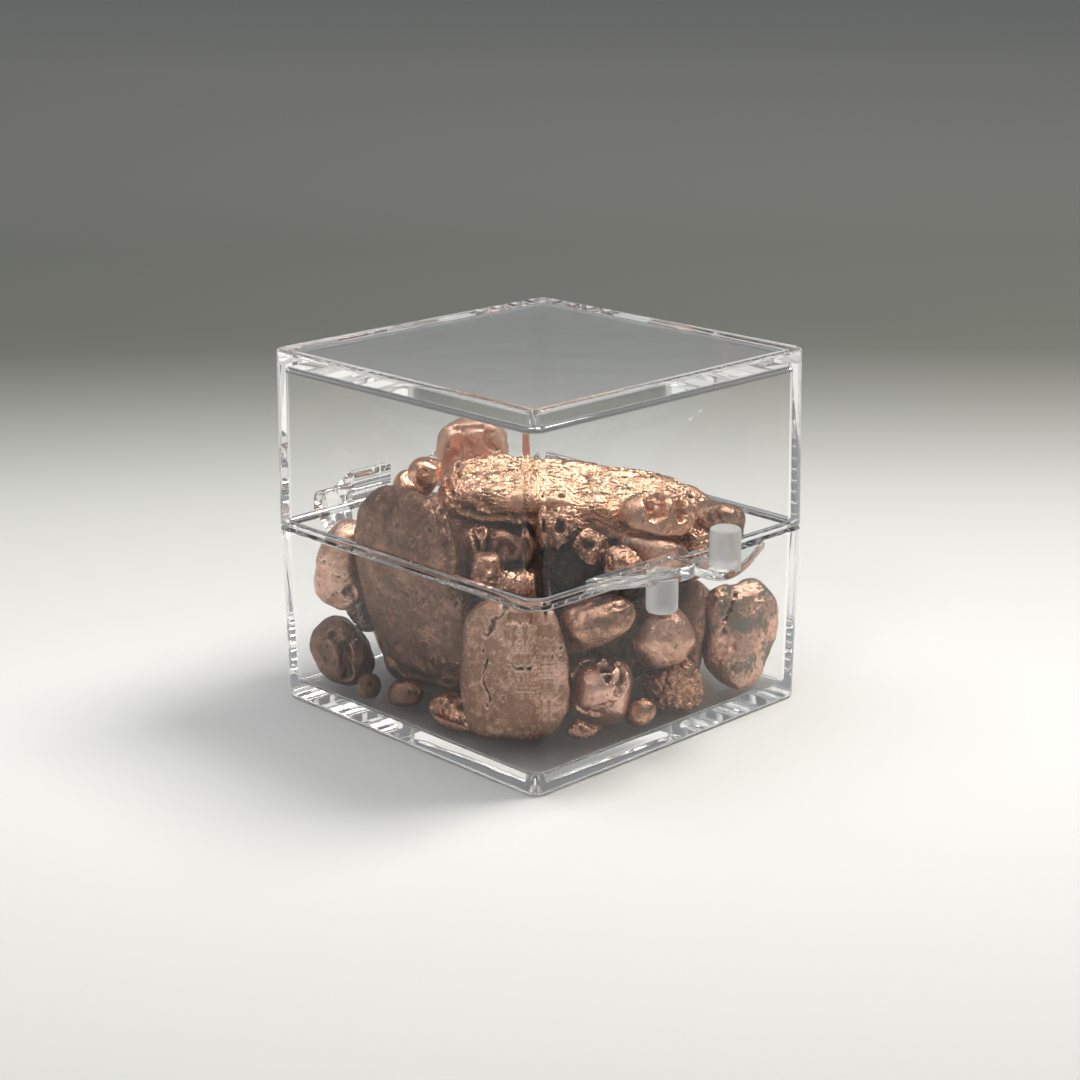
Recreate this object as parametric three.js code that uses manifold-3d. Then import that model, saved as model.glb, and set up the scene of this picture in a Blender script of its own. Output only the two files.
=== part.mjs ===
// A small clear plastic box with a hinged lid, holding a heap of native copper nuggets.
// Millimetres, +Z up. The origin is at the centre of the box's underside.
// The catch is on the -Y wall and the hinge is on the +Y wall.
import * as THREE from 'three';
import { mergeVertices } from 'three/addons/utils/BufferGeometryUtils.js';
import Module from 'manifold-3d';

const wasm = await Module();
wasm.setup();

// Driving sizes of the box
const BOX_WIDTH = 32;
const BOX_HEIGHT = 31.3;
const PARTING_HEIGHT = 15.7;
const PARTING_GAP = 0.3;
const DRAFT = 0.27;
const WALL = 1.05;
const FLOOR = 1.4;
const CEILING = 1.5;
const CORNER_RADIUS = 1.2;
const INNER_CORNER_RADIUS = 0.6;
const EDGE_ROUNDING = 0.35;
const INNER_FILLET = 0.5;
const LIP_HEIGHT = 0.45;
const LIP_THICKNESS = 0.45;
const LIP_CLEARANCE = 0.2;

// Driving sizes of the catch. The edge of a tab sweeps from its nose back to the wall in one curve,
// whose control points lie front and back along the tab, the second at a distance from the wall
const TAB_END = 1.1;
const TAB_LENGTH = 9.6;
const TAB_REACH = 3.4;
const TAB_NOSE_ROUNDING = 1.2;
const TAB_SWEEP = { front: 3.6, back: 6.7, distance: 2.0 };
const BASE_TAB_THICKNESS = 0.85;
const LID_TAB_THICKNESS = 1.15;
const PEG_RADIUS = 1.3;
const PEG_ROUNDING = 0.3;
const PEG_FROM_WALL = 2.05;
const PEG_ROOT = 0.4;
const BASE_PEG = { x: 3.3, height: 3.15 };
const LID_PEG = { x: -4.2, height: 2.5 };

// Driving sizes of the hinge
const HINGE_Y = 18;
const HINGE_Z = 16.2;
const PIN_RADIUS = 0.6;
const PIN_ROOT = 0.5;
const BORE_RADIUS = 0.8;
const HOOK_RADIUS = 1.25;
const HOOK_INNER_X = 2.9;
const HOOK_OUTER_X = 7.1;
const HOOK_TOP = 18.7;
const HOOK_MOUTH = 0.95;
const HOOK_ARC_END = 36;
const BRACKET_INNER_X = 7.4;
const BRACKET_OUTER_X = 9.6;
const BRACKET_FOOT = 13.4;
const BRACKET_RADIUS = 0.95;
const HINGE_FLARE = 0.6;
const HINGE_FROM_PARTING = 0.2;

// Fineness of the round shapes
const CORNER_STEPS = 4;
const CURVE_STEPS = 8;
const PEG_SIDES = 16;
const PIN_SIDES = 16;
const MERGE_DISTANCE = 1e-4;

// Where the middle of a rounding lies, as a share of its radius in from the sharp corner
const ROUND_MIDDLE = 1 - Math.SQRT1_2;

// How far a cutting shape runs past what it cuts
const CUT_MARGIN = 1;

// Values worked out from the driving sizes
const halfWidth = BOX_WIDTH / 2;
const halfAtParting = halfWidth + DRAFT;
const innerAtEnds = halfWidth - WALL;
const innerAtParting = innerAtEnds + DRAFT / 2;
const rootInWall = halfWidth - WALL / 3;
const baseTop = PARTING_HEIGHT - PARTING_GAP / 2;
const lidRim = PARTING_HEIGHT + PARTING_GAP / 2;
const lipTop = baseTop + LIP_HEIGHT;
const rebateTop = lipTop + PARTING_GAP;

// Materials

const clearPlastic = new THREE.MeshStandardMaterial({
  name: 'clear plastic',
  color: 0xdfe6e8,
  roughness: 0.05,
  metalness: 0,
  transparent: true,
  opacity: 0.35,
});

function copper(name, color, roughness) {
  return new THREE.MeshStandardMaterial({ name, color, roughness, metalness: 0.9 });
}

const FINISHES = {
  bright: copper('bright copper', 0xe29a6b, 0.25),
  worn: copper('worn copper', 0xb07558, 0.45),
  brown: copper('brown copper', 0x8f5f49, 0.55),
  mottled: copper('mottled copper', 0x7d6552, 0.6),
};

// Joining and cutting closed meshes

function toSolid(geometry) {
  const plain = geometry.clone();
  plain.deleteAttribute('normal');
  plain.deleteAttribute('uv');
  const merged = mergeVertices(plain, MERGE_DISTANCE);
  return new wasm.Manifold(new wasm.Mesh({
    numProp: 3,
    vertProperties: new Float32Array(merged.attributes.position.array),
    triVerts: new Uint32Array(merged.index.array),
  }));
}

function toGeometry(solid) {
  const mesh = solid.getMesh();
  const geometry = new THREE.BufferGeometry();
  geometry.setAttribute('position', new THREE.BufferAttribute(mesh.vertProperties, 3));
  geometry.setIndex(new THREE.BufferAttribute(mesh.triVerts, 1));
  geometry.computeVertexNormals();
  return geometry;
}

// Box shells: closed lofts through level square rings with round corners

function ring(half, radius, z) {
  const points = [];
  for (let corner = 0; corner < 4; corner += 1) {
    const start = corner * Math.PI / 2;
    const middle = start + Math.PI / 4;
    const reach = (half - radius) * Math.SQRT2;
    for (let step = 0; step <= CORNER_STEPS; step += 1) {
      const angle = start + (step / CORNER_STEPS) * (Math.PI / 2);
      points.push([
        reach * Math.cos(middle) + radius * Math.cos(angle),
        reach * Math.sin(middle) + radius * Math.sin(angle),
        z,
      ]);
    }
  }
  return points;
}

function loft(rings) {
  const count = rings[0].length;
  const lastStart = (rings.length - 1) * count;
  const firstCentre = rings.length * count;
  const lastCentre = firstCentre + 1;
  const positions = rings.flat(2);
  positions.push(0, 0, rings[0][0][2]);
  positions.push(0, 0, rings[rings.length - 1][0][2]);
  const indices = [];
  for (let j = 0; j < count; j += 1) {
    const next = (j + 1) % count;
    indices.push(firstCentre, next, j);
    indices.push(lastCentre, lastStart + j, lastStart + next);
    for (let i = 0; i < rings.length - 1; i += 1) {
      const low = i * count;
      const high = low + count;
      indices.push(low + j, low + next, high + next);
      indices.push(low + j, high + next, high + j);
    }
  }
  const geometry = new THREE.BufferGeometry();
  geometry.setAttribute('position', new THREE.Float32BufferAttribute(positions, 3));
  geometry.setIndex(indices);
  return geometry;
}

function baseShell() {
  const r = CORNER_RADIUS;
  const e = EDGE_ROUNDING;
  const inner = INNER_CORNER_RADIUS;
  const fillet = INNER_FILLET;
  const lipOuter = innerAtParting + LIP_THICKNESS;
  return loft([
    ring(halfWidth - e, r - e, 0),
    ring(halfWidth - e * ROUND_MIDDLE, r - e * ROUND_MIDDLE, e * ROUND_MIDDLE),
    ring(halfWidth, r, e),
    ring(halfAtParting, r, baseTop),
    ring(lipOuter, inner + LIP_THICKNESS, baseTop),
    ring(lipOuter, inner + LIP_THICKNESS, lipTop),
    ring(innerAtParting, inner, lipTop),
    ring(innerAtEnds, inner, FLOOR + fillet),
    ring(innerAtEnds - fillet * ROUND_MIDDLE, inner, FLOOR + fillet * ROUND_MIDDLE),
    ring(innerAtEnds - fillet, inner, FLOOR),
  ]);
}

function lidShell() {
  const r = CORNER_RADIUS;
  const e = EDGE_ROUNDING;
  const inner = INNER_CORNER_RADIUS;
  const fillet = INNER_FILLET;
  const ceiling = BOX_HEIGHT - CEILING;
  const rebateDepth = LIP_THICKNESS + LIP_CLEARANCE;
  return loft([
    ring(innerAtEnds - fillet, inner, ceiling),
    ring(innerAtEnds - fillet * ROUND_MIDDLE, inner, ceiling - fillet * ROUND_MIDDLE),
    ring(innerAtEnds, inner, ceiling - fillet),
    ring(innerAtParting, inner, rebateTop),
    ring(innerAtParting + rebateDepth, inner + rebateDepth, rebateTop),
    ring(innerAtParting + rebateDepth, inner + rebateDepth, lidRim),
    ring(halfAtParting, r, lidRim),
    ring(halfWidth, r, BOX_HEIGHT - e),
    ring(halfWidth - e * ROUND_MIDDLE, r - e * ROUND_MIDDLE, BOX_HEIGHT - e * ROUND_MIDDLE),
    ring(halfWidth - e, r - e, BOX_HEIGHT),
  ]);
}

// Catch: one drop-shaped tab on each half, each with an upright round peg

function tab(side, bottom, thickness) {
  const nose = -(halfAtParting + TAB_REACH);
  const outline = new THREE.Shape();
  outline.moveTo(TAB_END, -rootInWall);
  outline.lineTo(TAB_END, nose + TAB_NOSE_ROUNDING);
  outline.quadraticCurveTo(TAB_END, nose, TAB_END + TAB_NOSE_ROUNDING, nose);
  outline.bezierCurveTo(
    TAB_END + TAB_SWEEP.front, nose,
    TAB_END + TAB_SWEEP.back, -(rootInWall + TAB_SWEEP.distance),
    TAB_END + TAB_LENGTH, -halfAtParting,
  );
  outline.lineTo(TAB_END + TAB_LENGTH, -rootInWall);
  const geometry = new THREE.ExtrudeGeometry(outline, {
    depth: thickness,
    bevelEnabled: false,
    curveSegments: CURVE_STEPS,
  });
  if (side < 0) {
    geometry.rotateY(Math.PI);
    geometry.translate(0, 0, thickness);
  }
  geometry.translate(0, 0, bottom);
  return geometry;
}

function peg(place, foot, tip) {
  const height = Math.abs(tip - foot);
  const profile = [
    new THREE.Vector2(0, 0),
    new THREE.Vector2(PEG_RADIUS, 0),
    new THREE.Vector2(PEG_RADIUS, height - PEG_ROUNDING),
    new THREE.Vector2(
      PEG_RADIUS - PEG_ROUNDING * ROUND_MIDDLE,
      height - PEG_ROUNDING * ROUND_MIDDLE,
    ),
    new THREE.Vector2(PEG_RADIUS - PEG_ROUNDING, height),
    new THREE.Vector2(0, height),
  ];
  const geometry = new THREE.LatheGeometry(profile, PEG_SIDES);
  geometry.rotateX(tip > foot ? Math.PI / 2 : -Math.PI / 2);
  geometry.translate(place, -(halfAtParting + PEG_FROM_WALL), foot);
  return geometry;
}

// Hinge: open hooks on the lid around stub pins that the base's brackets carry

function alongX(outline, inner, outer) {
  const geometry = new THREE.ExtrudeGeometry(outline, {
    depth: outer - inner,
    bevelEnabled: false,
    curveSegments: CURVE_STEPS,
  });
  geometry.rotateX(Math.PI / 2);
  geometry.rotateZ(Math.PI / 2);
  geometry.translate(inner, 0, 0);
  return geometry;
}

function bracketOutline() {
  const top = baseTop - HINGE_FROM_PARTING;
  const outline = new THREE.Shape();
  outline.moveTo(rootInWall, BRACKET_FOOT);
  outline.lineTo(halfAtParting + HINGE_FLARE, BRACKET_FOOT);
  outline.lineTo(HINGE_Y + BRACKET_RADIUS, HINGE_Z - BRACKET_RADIUS);
  outline.absarc(HINGE_Y, HINGE_Z, BRACKET_RADIUS, 0, Math.PI, false);
  outline.lineTo(halfAtParting + HINGE_FLARE, top);
  outline.lineTo(rootInWall, top);
  return outline;
}

function hookOutline() {
  const bottom = lidRim + HINGE_FROM_PARTING;
  const arcEnd = THREE.MathUtils.degToRad(HOOK_ARC_END);
  const outline = new THREE.Shape();
  outline.moveTo(rootInWall, bottom);
  outline.lineTo(halfAtParting + HINGE_FROM_PARTING, bottom);
  outline.absarc(HINGE_Y, HINGE_Z, HOOK_RADIUS, Math.PI, 2 * Math.PI + arcEnd, false);
  outline.lineTo(halfAtParting + HINGE_FLARE, HOOK_TOP);
  outline.lineTo(rootInWall, HOOK_TOP);
  return outline;
}

function crossBar(radius, inner, outer) {
  const geometry = new THREE.CylinderGeometry(radius, radius, outer - inner, PIN_SIDES);
  geometry.rotateZ(Math.PI / 2);
  geometry.translate((inner + outer) / 2, HINGE_Y, HINGE_Z);
  return geometry;
}

function mouth(inner, outer) {
  const reach = HOOK_RADIUS + CUT_MARGIN;
  const geometry = new THREE.BoxGeometry(outer - inner, HOOK_MOUTH, reach);
  geometry.translate(0, 0, -reach / 2);
  geometry.rotateX(Math.PI / 4);
  geometry.translate((inner + outer) / 2, HINGE_Y, HINGE_Z);
  return geometry;
}

function buildBase() {
  let solid = toSolid(baseShell());
  solid = solid.add(toSolid(tab(1, baseTop - BASE_TAB_THICKNESS, BASE_TAB_THICKNESS)));
  solid = solid.add(toSolid(peg(BASE_PEG.x, baseTop - PEG_ROOT, baseTop + BASE_PEG.height)));
  for (const side of [-1, 1]) {
    const inner = side < 0 ? -BRACKET_OUTER_X : BRACKET_INNER_X;
    const outer = side < 0 ? -BRACKET_INNER_X : BRACKET_OUTER_X;
    const pinInner = side < 0 ? -BRACKET_INNER_X - PIN_ROOT : HOOK_INNER_X;
    const pinOuter = side < 0 ? -HOOK_INNER_X : BRACKET_INNER_X + PIN_ROOT;
    solid = solid.add(toSolid(alongX(bracketOutline(), inner, outer)));
    solid = solid.add(toSolid(crossBar(PIN_RADIUS, pinInner, pinOuter)));
  }
  return toGeometry(solid);
}

function buildLid() {
  let solid = toSolid(lidShell());
  solid = solid.add(toSolid(tab(-1, lidRim, LID_TAB_THICKNESS)));
  solid = solid.add(toSolid(peg(LID_PEG.x, lidRim + PEG_ROOT, lidRim - LID_PEG.height)));
  for (const side of [-1, 1]) {
    const inner = side < 0 ? -HOOK_OUTER_X : HOOK_INNER_X;
    const outer = side < 0 ? -HOOK_INNER_X : HOOK_OUTER_X;
    let hook = toSolid(alongX(hookOutline(), inner, outer));
    hook = hook.subtract(toSolid(crossBar(BORE_RADIUS, inner - CUT_MARGIN, outer + CUT_MARGIN)));
    hook = hook.subtract(toSolid(mouth(inner - CUT_MARGIN, outer + CUT_MARGIN)));
    solid = solid.add(hook);
  }
  return toGeometry(solid);
}

// Nuggets: each is one lumpy solid, with its centre, its half sizes along its own axes and its
// turns about X, Y and Z in degrees. At a turn of 0 the own axes are those of the box.
// square is the roundness power: 2 is an ellipsoid, more is boxier. lumps is how far the bumps and
// dents reach, as a share of the half size. fine is the number of splits of the starting faces.
// taper widens the top against the bottom. marks are single bumps, or dents where the height is
// negative, each as a direction along the own axes, a height and a width.

const NUGGETS = [
  { name: 'nugget_tall_slab', at: [-10.9, 2.9, 11.0], half: [6.6, 2.0, 9.7], turn: [12, 0, -86],
    square: 2.8, lumps: 0.05, fine: 4, seed: 11, finish: 'brown',
    marks: [[-0.7, 0, -0.7, 0.18, 0.45], [-0.7, 0, 0.7, -0.07, 0.35], [0.8, 0, 0.5, 0.08, 0.4]] },
  { name: 'nugget_corner_lump', at: [-10.8, -8.4, 7.5], half: [4.4, 2.6, 6.6], turn: [0, 3, -46],
    square: 2.8, lumps: 0.07, fine: 4, seed: 12, finish: 'brown' },
  { name: 'nugget_long_hackly_slab', at: [1.9, -2.9, 17.9], half: [12.3, 4.4, 2.4],
    turn: [16, 7, -43], square: 3.8, lumps: 0.07, fine: 4, seed: 13, finish: 'bright',
    marks: [[-0.8, -0.3, -0.5, 0.12, 0.5], [0.8, 0, 0.6, -0.2, 0.5], [0.3, 0.5, 0.8, -0.16, 0.5]] },
  { name: 'nugget_patina_heart', at: [11.2, -12.4, 5.1], half: [4.0, 2.2, 6.0],
    turn: [-20, -8, -30], square: 2.2, taper: 0.75, lumps: 0.08, fine: 3, seed: 16, finish: 'mottled' },
  { name: 'nugget_bright_knob', at: [-7.5, 5.4, 20.8], half: [1.6, 1.6, 1.5], turn: [0, 10, -44],
    square: 2.2, lumps: 0.12, fine: 2, seed: 14, finish: 'bright' },
  { name: 'nugget_top_back', at: [-1.0, 6.8, 20.5], half: [3.1, 2.7, 3.9], turn: [0, -8, -50],
    square: 3.0, lumps: 0.1, fine: 3, seed: 15, finish: 'bright' },
  { name: 'nugget_front_lens', at: [-5.8, -11.6, 11.2], half: [3.6, 2.4, 2.0],
    turn: [0, -16, -30], square: 2.2, lumps: 0.06, fine: 3, seed: 17, finish: 'worn' },
  { name: 'nugget_front_skull', at: [-4.5, -11.0, 4.7], half: [2.8, 2.6, 3.2], turn: [0, 0, -44],
    square: 2.4, lumps: 0.1, fine: 3, seed: 18, finish: 'worn' },
  { name: 'nugget_front_pink', at: [2.3, -11.6, 7.6], half: [2.8, 2.2, 2.6], turn: [0, -30, -40],
    square: 2.6, lumps: 0.08, fine: 3, seed: 19, finish: 'worn' },
  { name: 'nugget_front_rough', at: [3.5, -12.1, 3.5], half: [2.4, 2.2, 2.7], turn: [0, -25, -40],
    square: 2.5, lumps: 0.1, fine: 3, seed: 20, finish: 'worn' },
  { name: 'nugget_left_lump', at: [-12.2, 11.0, 12.2], half: [2.3, 2.1, 3.6], turn: [0, 12, -50],
    square: 2.3, taper: -0.2, lumps: 0.1, fine: 3, seed: 21, finish: 'worn' },
  { name: 'nugget_left_knobby', at: [-12.1, 11.5, 4.5], half: [2.4, 2.3, 2.9], turn: [0, -20, -50],
    square: 2.3, lumps: 0.14, fine: 3, seed: 22, finish: 'brown' },
  { name: 'nugget_left_dark', at: [-10.4, 10.6, 8.4], half: [1.8, 1.8, 2.6], turn: [0, 0, -44],
    square: 2.4, lumps: 0.14, fine: 2, seed: 23, finish: 'mottled' },
  { name: 'nugget_left_pebble', at: [-13.5, 6.5, 2.9], half: [1.1, 1.1, 1.3], turn: [0, 0, -60],
    square: 2.3, lumps: 0.12, fine: 1, seed: 24, finish: 'brown' },
  { name: 'nugget_low_pebble', at: [-12.0, 3.0, 2.8], half: [1.6, 1.2, 1.2], turn: [0, -10, -60],
    square: 2.3, lumps: 0.12, fine: 1, seed: 25, finish: 'brown' },
  { name: 'nugget_floor_plate', at: [-11.2, -3.2, 2.4], half: [3.2, 2.3, 0.9], turn: [20, 12, -50],
    square: 2.3, lumps: 0.06, fine: 2, seed: 26, finish: 'worn' },
  { name: 'nugget_candle', at: [-9.3, -4.1, 14.3], half: [1.5, 1.5, 1.8], turn: [0, 0, -44],
    square: 2.6, lumps: 0.1, fine: 2, seed: 27, finish: 'worn' },
  { name: 'nugget_corner_crumb', at: [-9.4, -7.0, 13.9], half: [1.3, 1.3, 1.5], turn: [0, 0, -44],
    square: 2.3, lumps: 0.18, fine: 1, seed: 28, finish: 'bright' },
  { name: 'nugget_fan', at: [-6.7, -0.2, 15.3], half: [1.7, 1.5, 2.1], turn: [0, 10, -44],
    square: 2.0, lumps: 0.1, fine: 2, seed: 29, finish: 'worn' },
  { name: 'nugget_arch', at: [-5.2, -1.6, 15.0], half: [2.3, 1.9, 1.9], turn: [0, 20, -44],
    square: 2.3, lumps: 0.1, fine: 2, seed: 30, finish: 'brown' },
  { name: 'nugget_lobed', at: [2.2, -11.2, 18.6], half: [2.8, 1.8, 2.0], turn: [0, -8, -44],
    square: 2.2, lumps: 0.2, fine: 3, seed: 31, finish: 'bright' },
  { name: 'nugget_barrel', at: [8.6, -12.6, 17.0], half: [2.2, 1.7, 1.5], turn: [0, 8, -44],
    square: 3.0, lumps: 0.08, fine: 2, seed: 32, finish: 'worn' },
  { name: 'nugget_under_barrel', at: [5.9, -12.2, 15.4], half: [2.3, 1.8, 1.7], turn: [0, 0, -44],
    square: 2.4, lumps: 0.14, fine: 2, seed: 33, finish: 'bright' },
  { name: 'nugget_hollow_lump', at: [-3.4, -6.0, 17.3], half: [1.9, 1.7, 1.6], turn: [0, 0, -44],
    square: 2.3, lumps: 0.16, fine: 2, seed: 34, finish: 'bright' },
  { name: 'nugget_ring_lump', at: [-3.1, -8.6, 16.3], half: [1.6, 1.5, 1.4], turn: [0, 10, -44],
    square: 2.3, lumps: 0.16, fine: 2, seed: 35, finish: 'mottled' },
  { name: 'nugget_glittery', at: [-2.2, -11.4, 15.4], half: [1.9, 1.7, 1.4], turn: [0, 12, -44],
    square: 2.3, lumps: 0.16, fine: 2, seed: 36, finish: 'bright' },
  { name: 'nugget_grey_face', at: [1.5, -11.3, 15.4], half: [2.8, 2.3, 2.2], turn: [0, 14, -40],
    square: 2.6, lumps: 0.1, fine: 2, seed: 37, finish: 'mottled' },
  { name: 'nugget_low_crumb_left', at: [-6.9, -11.9, 2.6], half: [1.5, 1.1, 0.8],
    turn: [0, 0, -30], square: 2.3, lumps: 0.12, fine: 1, seed: 38, finish: 'worn' },
  { name: 'nugget_low_crumb_right', at: [-1.9, -13.2, 2.7], half: [1.2, 1.0, 1.0],
    turn: [0, 0, -30], square: 2.3, lumps: 0.18, fine: 1, seed: 39, finish: 'worn' },
  { name: 'nugget_behind_pink', at: [8.0, -9.4, 6.6], half: [2.3, 2.6, 4.4], turn: [0, 10, -44],
    square: 2.4, lumps: 0.08, fine: 2, seed: 40, finish: 'brown' },
  { name: 'nugget_behind_knob', at: [-4.9, 10.7, 17.8], half: [1.5, 1.4, 1.5], turn: [0, 0, -44],
    square: 2.3, lumps: 0.12, fine: 2, seed: 41, finish: 'bright' },

  // The heap's inside and its back, which the nuggets above rest on
  { name: 'nugget_low_middle_left', at: [-3.4, -3.2, 5.6], half: [4.4, 3.6, 4.2],
    turn: [10, 15, 20], square: 2.5, lumps: 0.1, fine: 1, seed: 51, finish: 'brown' },
  { name: 'nugget_low_middle_right', at: [4.6, -3.6, 5.8], half: [4.0, 3.8, 4.3],
    turn: [-10, 5, 60], square: 2.5, lumps: 0.1, fine: 1, seed: 52, finish: 'brown' },
  { name: 'nugget_low_right', at: [11.3, -4.6, 5.6], half: [3.6, 4.2, 4.1], turn: [0, 8, 10],
    square: 2.5, lumps: 0.1, fine: 1, seed: 53, finish: 'worn' },
  { name: 'nugget_low_back_left', at: [-4.0, 8.0, 5.6], half: [4.7, 6.2, 4.1], turn: [5, 0, 12],
    square: 2.6, lumps: 0.1, fine: 1, seed: 54, finish: 'brown' },
  { name: 'nugget_low_back_middle', at: [4.6, 7.2, 5.8], half: [4.3, 6.6, 4.3], turn: [0, 10, -8],
    square: 2.5, lumps: 0.1, fine: 1, seed: 55, finish: 'worn' },
  { name: 'nugget_low_back_right', at: [11.8, 6.8, 5.6], half: [3.2, 5.6, 4.0], turn: [0, -6, 6],
    square: 2.5, lumps: 0.1, fine: 1, seed: 56, finish: 'brown' },
  { name: 'nugget_middle_left', at: [-6.6, -4.0, 11.6], half: [2.9, 3.0, 2.8], turn: [0, 10, -30],
    square: 2.4, lumps: 0.1, fine: 1, seed: 63, finish: 'brown' },
  { name: 'nugget_middle_front', at: [-2.8, -7.4, 12.6], half: [3.3, 2.7, 3.3], turn: [0, 5, -40],
    square: 2.4, lumps: 0.1, fine: 1, seed: 64, finish: 'brown' },
  { name: 'nugget_high_left', at: [-3.6, 2.8, 14.0], half: [4.0, 4.2, 4.7], turn: [15, 0, 30],
    square: 2.4, lumps: 0.1, fine: 1, seed: 57, finish: 'brown' },
  { name: 'nugget_high_front', at: [3.4, -4.6, 12.8], half: [4.4, 4.0, 3.5], turn: [0, 12, -20],
    square: 2.4, lumps: 0.1, fine: 1, seed: 58, finish: 'brown' },
  { name: 'nugget_high_right', at: [10.9, -4.4, 12.4], half: [3.8, 4.4, 3.3], turn: [0, 10, 15],
    square: 2.5, lumps: 0.1, fine: 1, seed: 59, finish: 'worn' },
  { name: 'nugget_high_back_left', at: [-4.2, 10.6, 13.4], half: [4.7, 4.2, 4.0],
    turn: [-8, 5, 10], square: 2.4, lumps: 0.1, fine: 1, seed: 60, finish: 'worn' },
  { name: 'nugget_high_back_middle', at: [5.2, 5.4, 13.6], half: [4.6, 4.8, 3.6],
    turn: [5, 12, 40], square: 2.4, lumps: 0.1, fine: 1, seed: 61, finish: 'worn' },
  { name: 'nugget_high_back_right', at: [11.3, 10.8, 11.6], half: [3.4, 3.6, 3.1],
    turn: [0, -15, 30], square: 2.4, lumps: 0.1, fine: 1, seed: 62, finish: 'mottled' },
];

const NUGGET_GAP = 0.3;
const CLIP_SHARPNESS = 10;
const BUMP_COUNT = 9;
const BUMP_REACH = 1.2;
const BUMP_WIDTH = { least: 0.3, spread: 0.5 };
const TRIAL_FINENESS = 7;
const NEARLY_ZERO = 1e-6;

// The seeded generator spreads its seeds, and then steps and mixes one 32-bit number
const SEED_SPREAD = 2654435761;
const STATE_STEP = 0x6d2b79f5;

// Seeded numbers from 0 to 1
function seededNumbers(seed) {
  let state = seed * SEED_SPREAD >>> 0;
  return () => {
    state = (state + STATE_STEP) >>> 0;
    let t = state;
    t = Math.imul(t ^ (t >>> 15), t | 1);
    t ^= t + Math.imul(t ^ (t >>> 7), t | 61);
    return ((t ^ (t >>> 14)) >>> 0) / 2 ** 32;
  };
}

function turnOf(nugget) {
  const [x, y, z] = nugget.turn.map(THREE.MathUtils.degToRad);
  return new THREE.Euler(x, y, z, 'ZYX');
}

function bumpsOf(nugget) {
  const next = seededNumbers(nugget.seed);
  const bumps = [];
  for (let i = 0; i < BUMP_COUNT; i += 1) {
    const direction = new THREE.Vector3(next() - 0.5, next() - 0.5, next() - 0.5).normalize();
    const height = nugget.lumps * BUMP_REACH * (2 * next() - 1);
    bumps.push({ direction, height, width: BUMP_WIDTH.least + BUMP_WIDTH.spread * next() });
  }
  for (const [x, y, z, height, width] of nugget.marks ?? []) {
    bumps.push({ direction: new THREE.Vector3(x, y, z).normalize(), height, width });
  }
  return bumps;
}

// The length of a vector where another power takes the place of 2 in the rule of Pythagoras
function powerLength(vector, power) {
  return vector.toArray().reduce((sum, part) => sum + Math.abs(part) ** power, 0) ** (1 / power);
}

// How far the nugget's rounded block reaches from its centre along a unit direction of the box:
// the length of the scaled direction in the power that is dual to the block's own
function reachAlong(nugget, direction) {
  const own = direction.clone().applyQuaternion(nugget.inverse).multiply(nugget.halfSizes);
  return powerLength(own, nugget.square / (nugget.square - 1));
}

// A sphere of radius 1 with shared vertices
function unitSphere(fineness) {
  const sphere = new THREE.IcosahedronGeometry(1, fineness);
  sphere.deleteAttribute('normal');
  sphere.deleteAttribute('uv');
  return mergeVertices(sphere, MERGE_DISTANCE);
}

function directionsOf(sphere) {
  const position = sphere.attributes.position;
  const directions = [];
  for (let i = 0; i < position.count; i += 1) {
    directions.push(new THREE.Vector3().fromBufferAttribute(position, i).normalize());
  }
  return directions;
}

const TRIAL_DIRECTIONS = directionsOf(unitSphere(TRIAL_FINENESS));

// The plane that parts two nuggets with the widest gap, or the smallest overlap, shared equally
function partingPlane(first, second) {
  const between = second.centre.clone().sub(first.centre);
  let best = null;
  for (const direction of TRIAL_DIRECTIONS) {
    const along = between.dot(direction);
    const firstReach = reachAlong(first, direction);
    const secondReach = reachAlong(second, direction);
    const gap = along - firstReach - secondReach;
    if (best === null || gap > best.gap) {
      best = { gap, direction, offset: first.centre.dot(direction) + firstReach + gap / 2 };
    }
  }
  return best;
}

// The half-spaces that a nugget stays in, as unit directions out and limits along them
function limitsOf(nugget, all) {
  const inner = innerAtEnds - NUGGET_GAP;
  const limits = [
    [new THREE.Vector3(1, 0, 0), inner],
    [new THREE.Vector3(-1, 0, 0), inner],
    [new THREE.Vector3(0, 1, 0), inner],
    [new THREE.Vector3(0, -1, 0), inner],
    [new THREE.Vector3(0, 0, -1), -(FLOOR + NUGGET_GAP)],
  ];
  for (const other of all) {
    if (other !== nugget) {
      const plane = partingPlane(nugget, other);
      limits.push([plane.direction, plane.offset - NUGGET_GAP / 2]);
    }
  }
  return limits;
}

function nuggetMesh(nugget, all) {
  const geometry = unitSphere(nugget.fine);
  const bumps = bumpsOf(nugget);
  const limits = limitsOf(nugget, all).map(([direction, limit]) => ({
    own: direction.clone().applyQuaternion(nugget.inverse),
    room: limit - direction.dot(nugget.centre),
  }));
  const position = geometry.attributes.position;
  for (const [i, point] of directionsOf(geometry).entries()) {
    const widening = 1 + (nugget.taper ?? 0) * point.z;
    let scale = powerLength(point, nugget.square) ** -1;
    for (const bump of bumps) {
      scale += bump.height * Math.exp((point.dot(bump.direction) - 1) / bump.width ** 2);
    }
    point.multiply(nugget.halfSizes);
    point.x *= widening;
    let pressed = scale ** -CLIP_SHARPNESS;
    for (const { own, room } of limits) {
      const along = Math.max(own.dot(point), NEARLY_ZERO);
      pressed += (room / along) ** -CLIP_SHARPNESS;
    }
    point.multiplyScalar(pressed ** (-1 / CLIP_SHARPNESS));
    position.setXYZ(i, point.x, point.y, point.z);
  }
  geometry.computeVertexNormals();
  const mesh = new THREE.Mesh(geometry, FINISHES[nugget.finish]);
  mesh.name = nugget.name;
  mesh.position.copy(nugget.centre);
  mesh.rotation.copy(turnOf(nugget));
  return mesh;
}

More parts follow.
